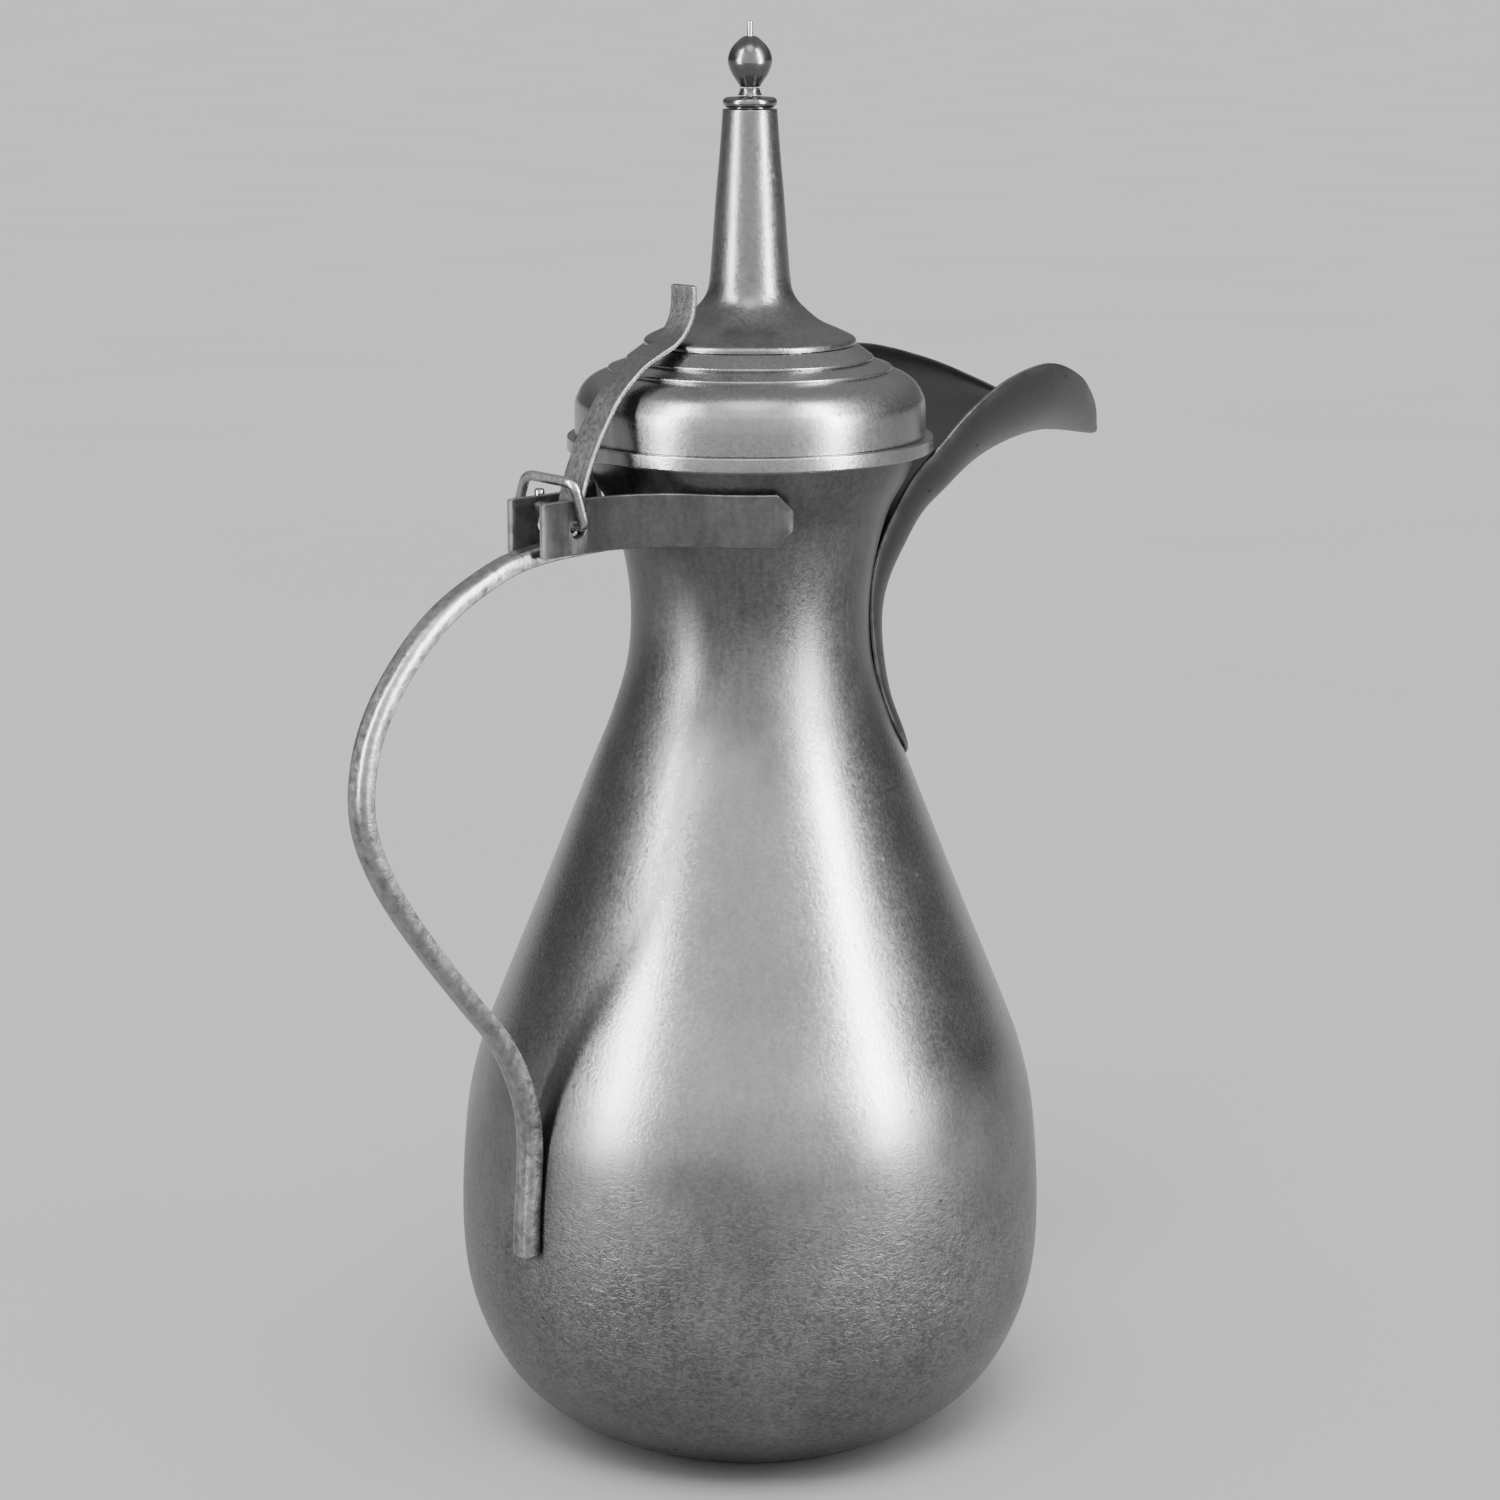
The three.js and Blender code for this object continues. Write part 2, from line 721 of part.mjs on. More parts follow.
function rodWasher() {
  const bottom = WASHER_TOP - WASHER_THICKNESS;
  return ring(
    [
      [BORE_R, bottom],
      [WASHER_R, bottom],
      [WASHER_R, WASHER_TOP],
      [BORE_R, WASHER_TOP],
    ],
    FINIAL_SEGMENTS,
  );
}

function finialRod() {
  const headTop = WASHER_TOP - WASHER_THICKNESS - GAP;
  const bevel = 0.2;
  const outline = [
    [0, headTop - ROD_HEAD_HEIGHT],
    [ROD_HEAD_R - bevel, headTop - ROD_HEAD_HEIGHT + bevel],
    [ROD_HEAD_R, headTop],
    [ROD_R, headTop],
    [ROD_R, ROD_TOP - bevel],
    [ROD_R - bevel, ROD_TOP],
    [0, ROD_TOP],
  ];
  return turned(vectors(outline), ROD_SEGMENTS);
}

// ---- assembly -------------------------------------------------------------------------------

const dallah = new THREE.Group();

function add(name, geometry, material) {
  const mesh = new THREE.Mesh(geometry, material);
  mesh.name = name;
  dallah.add(mesh);
}

const strap = neckStrap();
add("body_shell", subtract(bodySheet(), pourCutter()), PEWTER);
add("base_plate", basePlate(), PEWTER);
add("spout_shell", subtract(spoutSheet(), bodyClearance()), PEWTER);
add("right_neck_strap", strap, WORN_STEEL);
add("left_neck_strap", mirroredInY(strap), WORN_STEEL);
add("handle_bar", handleBar(), WORN_STEEL);
add("hinge_wire", hingeWire(), BRIGHT_WIRE);
add("lid_lever", lever(), WORN_STEEL);
add("lid_flange", flange(), PEWTER);
add("lid_collar", locatingCollar(), PEWTER);
add("lid_dome", dome(), PEWTER);
add("lid_lower_step", ring(LOWER_STEP, LID_SEGMENTS), PEWTER);
add("lid_upper_step", ring(UPPER_STEP, LID_SEGMENTS), PEWTER);
add("spire_cone", spire(), PEWTER);
add("spire_collar", spireCollar(), PEWTER);
add("finial_neck", finialNeck(), PEWTER);
add("finial_ball", finialBall(), PEWTER);
add("finial_rod", finialRod(), BRIGHT_WIRE);
add("rod_washer", rodWasher(), WORN_STEEL);

export default dallah;
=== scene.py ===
"""Dallah coffee pot: the visible pieces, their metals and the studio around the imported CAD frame.

Lengths in the tables are millimetres in the frame's own axes, except where a comment says metres:
+Z up, the pot's axis at x = y = 0, +X along the spout. Meshes are made in metres.
"""

import json
import math

import bmesh
import bpy
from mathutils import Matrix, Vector


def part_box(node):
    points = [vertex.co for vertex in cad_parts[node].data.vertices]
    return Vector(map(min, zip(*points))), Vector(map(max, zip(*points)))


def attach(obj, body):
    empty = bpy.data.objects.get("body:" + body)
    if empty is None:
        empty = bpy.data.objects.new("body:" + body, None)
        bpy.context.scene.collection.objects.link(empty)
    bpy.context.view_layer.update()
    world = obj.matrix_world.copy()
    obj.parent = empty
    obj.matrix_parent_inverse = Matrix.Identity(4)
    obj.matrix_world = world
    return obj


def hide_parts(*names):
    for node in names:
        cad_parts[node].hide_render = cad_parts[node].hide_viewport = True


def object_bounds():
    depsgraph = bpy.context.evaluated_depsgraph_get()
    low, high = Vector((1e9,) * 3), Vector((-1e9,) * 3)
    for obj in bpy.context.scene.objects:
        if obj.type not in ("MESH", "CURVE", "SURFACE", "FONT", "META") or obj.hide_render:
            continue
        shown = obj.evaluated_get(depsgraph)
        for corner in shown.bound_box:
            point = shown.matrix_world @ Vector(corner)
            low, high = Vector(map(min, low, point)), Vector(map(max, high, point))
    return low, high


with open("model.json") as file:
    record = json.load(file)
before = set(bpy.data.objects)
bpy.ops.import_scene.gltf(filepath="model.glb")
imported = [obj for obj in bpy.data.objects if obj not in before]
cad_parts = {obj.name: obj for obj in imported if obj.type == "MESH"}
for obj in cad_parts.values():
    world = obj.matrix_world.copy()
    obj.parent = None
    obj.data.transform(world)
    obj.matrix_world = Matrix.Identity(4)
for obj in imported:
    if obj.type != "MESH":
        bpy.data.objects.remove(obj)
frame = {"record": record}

MM = 0.001
cad_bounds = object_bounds()

# The strip lights reach only the shiny pieces; the dull sheet pieces are flagged off from them.
pot_pieces = bpy.data.collections.new("pot_pieces")
shiny_pieces = bpy.data.collections.new("shiny_pieces")
bpy.context.scene.collection.children.link(pot_pieces)

# ---- sizes, metals and lights ----------------------------------------------------------------

SHEET = 1.25
GAP = 0.3

# Outer profile of the body as (radius, height), from the base edge to the rim.
BODY_PROFILE = [
    (38, 0), (49.4, 5.9), (58.8, 14), (65.5, 25), (69.6, 38), (70.8, 55), (69.4, 78), (66.4, 93),
    (61.5, 106.5), (50.3, 134), (39.3, 162), (33.4, 176.5), (29.6, 189), (28.5, 201), (29.5, 213),
    (32.8, 226), (37, 234), (39.6, 240.4),
]

# Arched opening in the neck wall behind the spout.
POUR_HALF_WIDTH = 13
POUR_BOTTOM = 174
POUR_TOP = 232
POUR_CORNER_R = 6

# Stations of the spout where it lies on the neck: edge angle from +X in degrees, edge height,
# keel x, keel height.
SPOUT_SHEET = 1.2
SPOUT_STAND_OFF = 1
SPOUT_ROOT = [
    (3, 161, 41.2, 161.1), (15, 161.9, 40.8, 161.8), (27, 164, 40.1, 163.5), (37, 167.2, 39, 166.2),
    (45, 172, 37.3, 170), (47.5, 184, 35, 177.5), (47.5, 203, 33, 195), (46.5, 214, 35.2, 203.6),
]
# Stations of the free beak: edge x, half width, edge height, keel x, keel height.
SPOUT_BEAK = [
    (24.6, 24.8, 225.5, 39, 211.5), (27.4, 28, 233.5, 42.6, 219.1), (31.8, 32.4, 241, 48.4, 224.5),
    (37.9, 34, 247, 55.1, 229.1), (45, 34.5, 251.6, 62.7, 232), (55, 34.5, 255.8, 70.7, 234.1),
    (70, 32.5, 257.7, 84, 236.2), (88.6, 25.8, 252.9, 97.4, 236.4), (99.4, 20, 247.8, 104.4, 235.7),
    (108.6, 14, 242.4, 111, 234.9), (116, 8, 237.5, 117.1, 233.8), (121.8, 3.2, 234.3, 122, 233),
]
SPOUT_ROOT_ARC = 80  # half-angle in degrees of a section's curve on the neck
SPOUT_BEAK_ARC = 90  # half-angle in the beak, where a section is half an ellipse
SPOUT_ARC_CHANGE = (5, 8)  # stations between which the half-angle changes
SPOUT_SEAM = 0.1  # the soldered sheet stands this far off the neck
SPOUT_SPAN_STEPS = 6  # steps between two stations
SPOUT_FACETS = 40
KEEL_EASING = 16  # smoothing passes that take the kinks out of the keel

# Hinge wire: its tail, the pin's half length, and the loop over the lever as (x, y, height).
WIRE_R = 1.2
WIRE_BEND = 2.6  # how far from a corner the bend starts
WIRE_STEP = 1.2  # longest step along the wire
WIRE_TAIL = (-58.9, 8, 236.3)
WIRE_PIN_REACH = 8
WIRE_LOOP = [(-62.3, -7.9, 239.4), (-62.9, 8, 239.9), (-61.5, 12.8, 231.2)]

# Straps, as an ear, a bend of radius STRAP_FILLET and a wrap round the neck.
STRAP_HEIGHT = 12.6
EAR_INNER_Y = 4.95
EAR_END_X = -70.3
EAR_HOLE_R = 2.2
EAR_HOLE_OFFSET = -0.4  # along X and Z, from the hinge's axis
EAR_HOLE_FLARE = 0.35
WRAP_R = 38.2
WRAP_END_DEG = 61
STRAP_FILLET = 28
STRAP_LEAN = math.tan(math.radians(9))
STRAP_LEAN_RADII = (52, 41)  # no lean at the first radius, full lean at the second
STRAP_CHAMFER = 4
STRAP_EDGE_R = 0.42
STRAP_END_SHARES = (0.97, 0.7)  # height and thickness left at the rounded ends
CUTTER_OVERHANG = 3  # how far a hole's cutter stands out of the sheet

# Lever and handle, as (x, height) lines in the XZ plane.
LEVER_WIDTH = 7.8
LEVER_SHEET = 1.2
LEVER_EDGE_R = 0.35
HOOK_R = WIRE_R + GAP + LEVER_SHEET / 2
HOOK_ARC = (170, 370)  # from one angle to the other, in degrees
HOOK_TIP = [(-63.7, 234.2), (-63.1, 232.2)]
LEVER_PATH = [
    (-56.2, 234.5), (-54.6, 239.3), (-52.8, 243.3), (-50.5, 247.8), (-47.7, 252.1), (-44.5, 256.5),
    (-40.4, 260.3), (-36.3, 263.2), (-31.8, 265.3), (-27.1, 267.3), (-23.9, 270), (-21.8, 273.5),
    (-21.2, 277), (-21.2, 280.6),
]
HANDLE_PATH = [
    (-35, 223.9), (-50, 223.8), (-65.8, 223.1), (-75.6, 221.5), (-84, 218.4), (-93.2, 213.8),
    (-101, 208), (-107.5, 201.3), (-113, 193.8), (-117, 185), (-118.7, 175), (-118.1, 167.4),
    (-115.2, 159), (-109.5, 148.8), (-99.9, 135.5), (-88.6, 121.5), (-80.5, 111.5), (-75.4, 102),
    (-72.6, 93.5), (-71.7, 85), (-72, 77), (-72.9, 66), (-73.2, 57.5),
]
HANDLE_HALF_WIDTH = 3.2
HANDLE_THICKNESS = 3.9
HANDLE_CREST = 0.3  # flat share of the outer side's width
HANDLE_SHOULDER = -0.35  # where the rounding starts, as a share of the half thickness
HANDLE_EDGE_R = 0.35
HANDLE_END_BEVEL = 0.4

# Lid, from the flange up, as (radius, height).
DOME_R = 41.4
DOME_WALL_TOP = 251.2
FLANGE_LIP = 4  # width of the flange's raised lip under the dome
DOME_SHOULDER = [(40.6, 254), (38.9, 256.6), (36.4, 258.4), (33, 259.7), (28, 261.5), (21, 263.9)]
LOWER_STEP = [(24, 262.5), (33.4, 259.4), (33.5, 260.1), (33.3, 260.35), (24, 263.7)]
UPPER_STEP = [
    (22, 264), (23.6, 264), (29, 261.9), (29.1, 262.45), (28.9, 262.7), (25.4, 265.3),
    (24.6, 265.6), (22, 265.3),
]
SPIRE_LINE = [
    (25.05, 265.6), (24.6, 267), (21, 268.8), (16.8, 270.7), (13.2, 273.6), (10.8, 276.3), (9.7, 279.5),
    (9, 287), (8.1, 299), (7.2, 309), (6.37, 319.9),
]
SPIRE_SHEET = 1
BEAD_R = 1.15
BEAD_ARC = (-75, 75)  # degrees
COLLAR_RING_RADII = (5.6, 3.4)  # below and above the bead
FINIAL_NECK_LINE = [(2.9, 0), (2.6, 0.4), (2.3, 1.2)]  # radius, height above its foot
FINIAL_NECK_TOP_R = 2.4
BALL_LINE = [
    (2.3, 324.9), (3.2, 326.3), (4.3, 328), (5.15, 330.4), (4.9, 332.4), (4, 334.2), (2.4, 335.8),
    (1.4, 336.5),
]
ROD_R = 0.7
ROD_BEVEL = 0.2
ROD_HEAD_HEIGHT = 1
BORE_R = ROD_R + GAP

# How far the corners of each section are rounded.
BODY_EDGE_R = 0.5
PLATE_EDGE_R = 0.4
THIN_EDGE_R = 0.15
UPPER_STEP_EDGE_R = 0.12
SPIRE_EDGE_R = 0.3
FINIAL_NECK_EDGE_R = 0.2
ROD_EDGE_R = 0.1

# A section's corner is rounded when it turns by more than this.
SHARP_CORNER = math.radians(25)

# Fineness of the visible meshes.
BODY_SEGMENTS = 192
LID_SEGMENTS = 160
SPIRE_SEGMENTS = 96
FINIAL_SEGMENTS = 64
ROD_SEGMENTS = 32

# Sizes in mm of the marks on the metals.
CLOUD_MM = 28
BRUSHED_MM = 1.6
MOTTLE_MM = 2.1
PIT_SPACING_MM = 11
RUBBED_MM = 5
SCRATCHES = [((0.25, 0.5, 0.3), 9, 0.004), ((1.2, -0.4, 0.9), 13, 0.003)]  # turn, spacing, width

# Heights in metres over which the body's leathery foot, darkened foot and dull neck fade, and for the
# foot and neck the share of tone lost and the roughness gained. The foot's loss of tone is painted
# shade, darker towards the bottom.
LEATHERY_HEIGHTS = (0.045, 0.095)
LEATHER_SWING = 0.022
FOOT_HEIGHTS = (0.06, 0.11)
FOOT_SHADE_AND_DULLING = (0.3, 0.16)
NECK_HEIGHTS = (0.16, 0.188)
NECK_DULLING = (0.5, 0.1)

# The metals, with what differs from aged_metal's usual grain, stain, wear and relief.
METALS = {
    "pewter_body": {"tone": 0.17, "roughness": 0.27, "relief": 0.45, "by_height": True},
    "pewter_lid": {"tone": 0.18, "roughness": 0.28, "stain": 0.03, "relief": 0.3},
    "pewter_spire": {"tone": 0.12, "roughness": 0.31, "stain": 0.02, "relief": 0.5},
    # The spout's pewter has a far lower tone than the body's: painted shade.
    "pewter_spout_painted_shade": {
        "tone": 0.075, "roughness": 0.44, "grain": 0.008, "stain": 0.01, "relief": 0.4,
    },
    "pewter_finial": {"tone": 0.1, "roughness": 0.24, "grain": 0.015, "relief": 0.3},
    "strap_metal": {"tone": 0.1, "roughness": 0.5, "grain_mm": 1.4, "grain": 0.04, "wear": 0.3},
    "lever_metal": {
        "tone": 0.095, "roughness": 0.42, "grain_mm": 1.4, "grain": 0.015, "stain": 0.03, "wear": 0.1,
    },
    "handle_metal": {"tone": 0.2, "roughness": 0.36, "grain_mm": 2.0, "grain": 0.12, "stain": 0.07},
    "wire_metal": {"tone": 0.24, "roughness": 0.3, "grain_mm": 1.2, "wear": 0.06, "relief": 0.5},
}

# The camera's place in metres and degrees. It is turned to the pot's axis and tilted down.
CAMERA_AZIMUTH = -134
CAMERA_DISTANCE = 0.8706
CAMERA_HEIGHT = 0.36
CAMERA_TILT = 12.47
CAMERA_LENS = 88.8

# Upright lights in metres and watts: name, angle from the camera's side, distance, width, power.
STRIP_LIGHTS = [("left_strip", -56, 0.8, 0.1, 34), ("right_strip", 56, 0.8, 0.1, 48)]
FRONT_PANEL = ("front_panel", 0, 0.9, 1.5, 10)
LIGHT_BOTTOM = 0.14
LIGHT_TOP = 1.3
HIGH_LIGHT_ENERGY = 1.25
HIGH_LIGHT_SPREAD = 30  # degrees
HIGH_LIGHT_LEAN = 0.5  # towards the camera, per unit of height
# Brightness of the room by the height of the view's direction: horizon to ceiling.
CEILING = {"From Min": 0.1, "From Max": 0.8, "To Min": 0.215, "To Max": 0.75}
FLOOR_REACH = 40000  # millimetres
FLOOR_GREYS = (0.83, 0.86)


# ---- curves and outlines ---------------------------------------------------------------------

def hermite(start, end, leave, arrive, t):
    """The point at t on a cubic with the given end tangents."""
    return (
        start * (2 * t**3 - 3 * t**2 + 1)
        + leave * (t**3 - 2 * t**2 + t)
        + end * (3 * t**2 - 2 * t**3)
        + arrive * (t**3 - t**2)
    )


def eased(line, passes):
    """The line with its bends spread over their neighbours; its ends stay."""
    for _ in range(passes):
        inner = [(a + 2 * b + c) / 4 for a, b, c in zip(line, line[1:], line[2:])]
        line = [line[0], *inner, line[-1]]
    return line


def quadratic(start, corner, end, steps):
    """Points on a curve that leaves start towards the corner and arrives at end from it."""
    curve = []
    for k in range(steps + 1):
        t = k / steps
        curve.append(start * (1 - t) ** 2 + corner * 2 * t * (1 - t) + end * t**2)
    return curve


def smooth_share(value, none, full):
    """0 at none, 1 at full, with a smooth step between."""
    t = min(max((value - none) / (full - none), 0), 1)
    return t * t * (3 - 2 * t)


def uniform_curve(points, per_span):
    """A smooth curve through the points, with even steps in each span."""
    points = [Vector(p) for p in points]
    padded = [points[0], *points, points[-1]]
    line = []
    for before, start, end, after in zip(padded, padded[1:], padded[2:], padded[3:]):
        for k in range(per_span):
            line.append(hermite(start, end, (end - before) / 2, (after - start) / 2, k / per_span))
    return [*line, points[-1]]


def centripetal_curve(points, per_span):
    """A smooth curve through uneven points, without overshoot."""
    points = [Vector(p) for p in points]
    padded = [2 * points[0] - points[1], *points, 2 * points[-1] - points[-2]]
    line = []
    for before, start, end, after in zip(padded, padded[1:], padded[2:], padded[3:]):
        a, b, c = ((q - p).length ** 0.5 for p, q in ((before, start), (start, end), (end, after)))
        leave = (start - before) / a - (end - before) / (a + b) + (end - start) / b
        arrive = (end - start) / b - (after - start) / (b + c) + (after - end) / c
        for k in range(per_span):
            line.append(hermite(start, end, leave * b, arrive * b, k / per_span))
    return [*line, points[-1]]


def left_normals(line):
    """Unit normals on the left of an open 2-D line."""
    normals = []
    for i in range(len(line)):
        along = line[min(i + 1, len(line) - 1)] - line[max(i - 1, 0)]
        normals.append(Vector((-along.y, along.x)).normalized())
    return normals


def sheet_outline(line, left, right):
    """The section of a sheet: one side of a line, then back along the other side."""
    normals = left_normals(line)
    there = [p + n * left for p, n in zip(line, normals)]
    back = [p - n * right for p, n in zip(line, normals)]
    return there + back[::-1]


def rounded(outline, radius, steps=4):
    """The closed outline with each sharp corner drawn as a short curve."""
    outline = [Vector(p) for p in outline]
    result = []
    for i, corner in enumerate(outline):
        before = outline[i - 1] - corner
        after = outline[(i + 1) % len(outline)] - corner
        shortest = min(before.length, after.length)
        if shortest < 1e-6 or math.pi - before.angle(after) < SHARP_CORNER:
            result.append(corner)
            continue
        start = corner + before.normalized() * min(radius, 0.45 * before.length)
        end = corner + after.normalized() * min(radius, 0.45 * after.length)
        result += quadratic(start, corner, end, steps)
    return result


def arc(centre, radius, from_deg, to_deg, steps):
    """Points on a circle's arc as 2-D vectors."""
    angles = [math.radians(from_deg + (to_deg - from_deg) * k / steps) for k in range(steps + 1)]
    return [Vector(centre) + Vector((math.cos(a), math.sin(a))) * radius for a in angles]


# ---- meshes ----------------------------------------------------------------------------------

def mesh_object(name, points, faces):
    """A smooth-shaded object of points in mm, with its faces turned outwards."""
    mesh = bpy.data.meshes.new(name)
    mesh.from_pydata([Vector(p) * MM for p in points], [], faces)
    work = bmesh.new()
    work.from_mesh(mesh)
    bmesh.ops.remove_doubles(work, verts=work.verts, dist=1e-7)
    bmesh.ops.dissolve_degenerate(work, edges=work.edges, dist=1e-8)
    bmesh.ops.recalc_face_normals(work, faces=work.faces)
    if work.calc_volume(signed=True) < 0:
        bmesh.ops.reverse_faces(work, faces=work.faces)
    for face in work.faces:
        face.smooth = True
    work.to_mesh(mesh)
    work.free()
    made = bpy.data.objects.new(name, mesh)
    pot_pieces.objects.link(made)
    return made


def loft(name, rings, closed_path=False):
    """Quads between rings of equal length, closed at both ends unless the path is a loop."""
    size = len(rings[0])
    points = [p for ring in rings for p in ring]
    faces = []
    last = len(rings) if closed_path else len(rings) - 1
    for i in range(last):
        a, b = i * size, (i + 1) % len(rings) * size
        for j in range(size):
            k = (j + 1) % size
            faces.append((a + j, a + k, b + k, b + j))
    if not closed_path:
        faces.append(tuple(range(size))[::-1])
        faces.append(tuple((len(rings) - 1) * size + j for j in range(size)))
    return mesh_object(name, points, faces)


def turned(name, outline, segments):
    """Revolves a closed (radius, height) outline about the pot's axis."""
    rings = []
    for k in range(segments):
        angle = 2 * math.pi * k / segments
        c, s = math.cos(angle), math.sin(angle)
        rings.append([Vector((p[0] * c, p[0] * s, p[1])) for p in outline])
    return loft(name, rings, closed_path=True)


def swept(name, path, frames, section, end_bevel):
    """Carries a section of (across, outwards) points along a path, with bevelled ends.

    frames holds the (across, outwards) directions at each path point.
    """
    rings = []
    total = len(path)
    for i, (centre, (across, outwards)) in enumerate(zip(path, frames)):
        ring = [centre + across * u + outwards * v for u, v in section]
        if i in (0, total - 1):
            inner = path[1] if i == 0 else path[-2]
            inwards = (inner - centre).normalized()
            small = [centre + (p - centre) * (1 - end_bevel / 2) for p in ring]
            shifted = [p + inwards * end_bevel for p in ring]
            rings += [small, shifted] if i == 0 else [shifted, small]
        else:
            rings.append(ring)
    return loft(name, rings)


def rounded_rectangle(width, height, radius):
    """A rectangle about the origin with rounded corners."""
    w, h = width / 2, height / 2
    return rounded([(-w, -h), (w, -h), (w, h), (-w, h)], radius)


def cut(target, cutter):
    """Takes the cutter's volume out of the target, and removes the cutter."""
    tool = target.modifiers.new("cut", "BOOLEAN")
    tool.operation = "DIFFERENCE"
    tool.solver = "EXACT"
    tool.object = cutter
    evaluated = target.evaluated_get(bpy.context.evaluated_depsgraph_get())
    result = bpy.data.meshes.new_from_object(evaluated)
    target.modifiers.clear()
    target.data = result
    bpy.data.objects.remove(cutter)


# ---- metals ----------------------------------------------------------------------------------

class Graph:
    """Short calls for building one material's nodes."""

    def __init__(self, name):
        self.material = bpy.data.materials.new(name)
        self.material.use_nodes = True
        self.tree = self.material.node_tree
        self.shader = self.tree.nodes["Principled BSDF"]
        self.position = self.node("TexCoord").outputs["Object"]

    def node(self, kind, inputs=None, **settings):
        """A new shader node with its inputs fed and its settings made."""
        made = self.tree.nodes.new("ShaderNode" + kind)
        for key, value in settings.items():
            setattr(made, key, value)
        for key, value in (inputs or {}).items():
            self.feed(made.inputs[key], value)
        return made

    def feed(self, socket, value):
        """Links a value's socket to an input, or sets the input to a plain value."""
        if isinstance(value, bpy.types.NodeSocket):
            self.tree.links.new(value, socket)
        else:
            socket.default_value = value

    def math(self, operation, a, b=0.0, clamp=False):
        """The result of one sum on two values."""
        return self.node("Math", {0: a, 1: b}, operation=operation, use_clamp=clamp).outputs[0]

    def stretched(self, scale, turn=(0, 0, 0)):
        """The object's position scaled per axis."""
        mapping = self.node("Mapping", {"Vector": self.position, "Scale": scale, "Rotation": turn})
        return mapping.outputs["Vector"]

    def noise(self, size_mm, detail=3, roughness=0.55, distortion=0.0, vector=None):
        """Noise whose features are about size_mm across."""
        inputs = {
            "Vector": vector or self.position,
            "Scale": 1 / (size_mm * MM),
            "Detail": detail,
            "Roughness": roughness,
            "Distortion": distortion,
        }
        return self.node("TexNoise", inputs).outputs["Fac"]

    def ramp(self, value, low, high, to_low=0.0, to_high=1.0):
        """A smooth step from to_low to to_high as the value goes from low to high."""
        inputs = {"Value": value, "From Min": low, "From Max": high}
        inputs.update({"To Min": to_low, "To Max": to_high})
        return self.node("MapRange", inputs, interpolation_type="SMOOTHSTEP").outputs["Result"]

    def grey(self, level):
        """A grey level as a colour."""
        return self.node("CombineColor", {0: level, 1: level, 2: level}).outputs[0]

    def bump(self, height, distance_mm, strength, normal=None):
        """The surface normal, tilted by a height on top of an earlier normal."""
        inputs = {"Height": height, "Distance": distance_mm * MM, "Strength": strength}
        if normal is not None:
            inputs["Normal"] = normal
        return self.node("Bump", inputs).outputs["Normal"]


def scratches(graph, turn, spacing_mm, width):
    """Straight hairlines in patches, from a noise that changes along one direction only."""
    planes = graph.stretched((1, 0.012, 0.012), turn)
    lines = graph.noise(spacing_mm, detail=0, vector=planes)
    off_middle = graph.math("ABSOLUTE", graph.math("SUBTRACT", lines, 0.5))
    thin = graph.ramp(off_middle, 0.0, width, 1.0, 0.0)
    patches = graph.ramp(graph.noise(spacing_mm * 3, detail=1), 0.56, 0.64)
    return graph.math("MULTIPLY", thin, patches)


def around_middle(graph, value, amount):
    """A noise shifted to swing evenly about zero, times an amount."""
    return graph.math("MULTIPLY", graph.math("SUBTRACT", value, 0.5), amount)


def height_masks(graph, speckle):
    """Where a body is leathery, where its foot is darkened with painted shade and dulled, and where its
    neck is dulled, with ragged limits.
    """
    height = graph.node("SeparateXYZ", {0: graph.position}).outputs["Z"]
    ragged = graph.math("ADD", height, around_middle(graph, graph.noise(16, detail=5), 0.045))
    ragged = graph.math("ADD", ragged, around_middle(graph, speckle, 0.03))
    leathery = graph.ramp(ragged, *LEATHERY_HEIGHTS, 1.0, 0.0)
    foot = graph.ramp(ragged, *FOOT_HEIGHTS, 1.0, 0.0)
    neck = graph.ramp(ragged, *NECK_HEIGHTS)
    return leathery, foot, neck


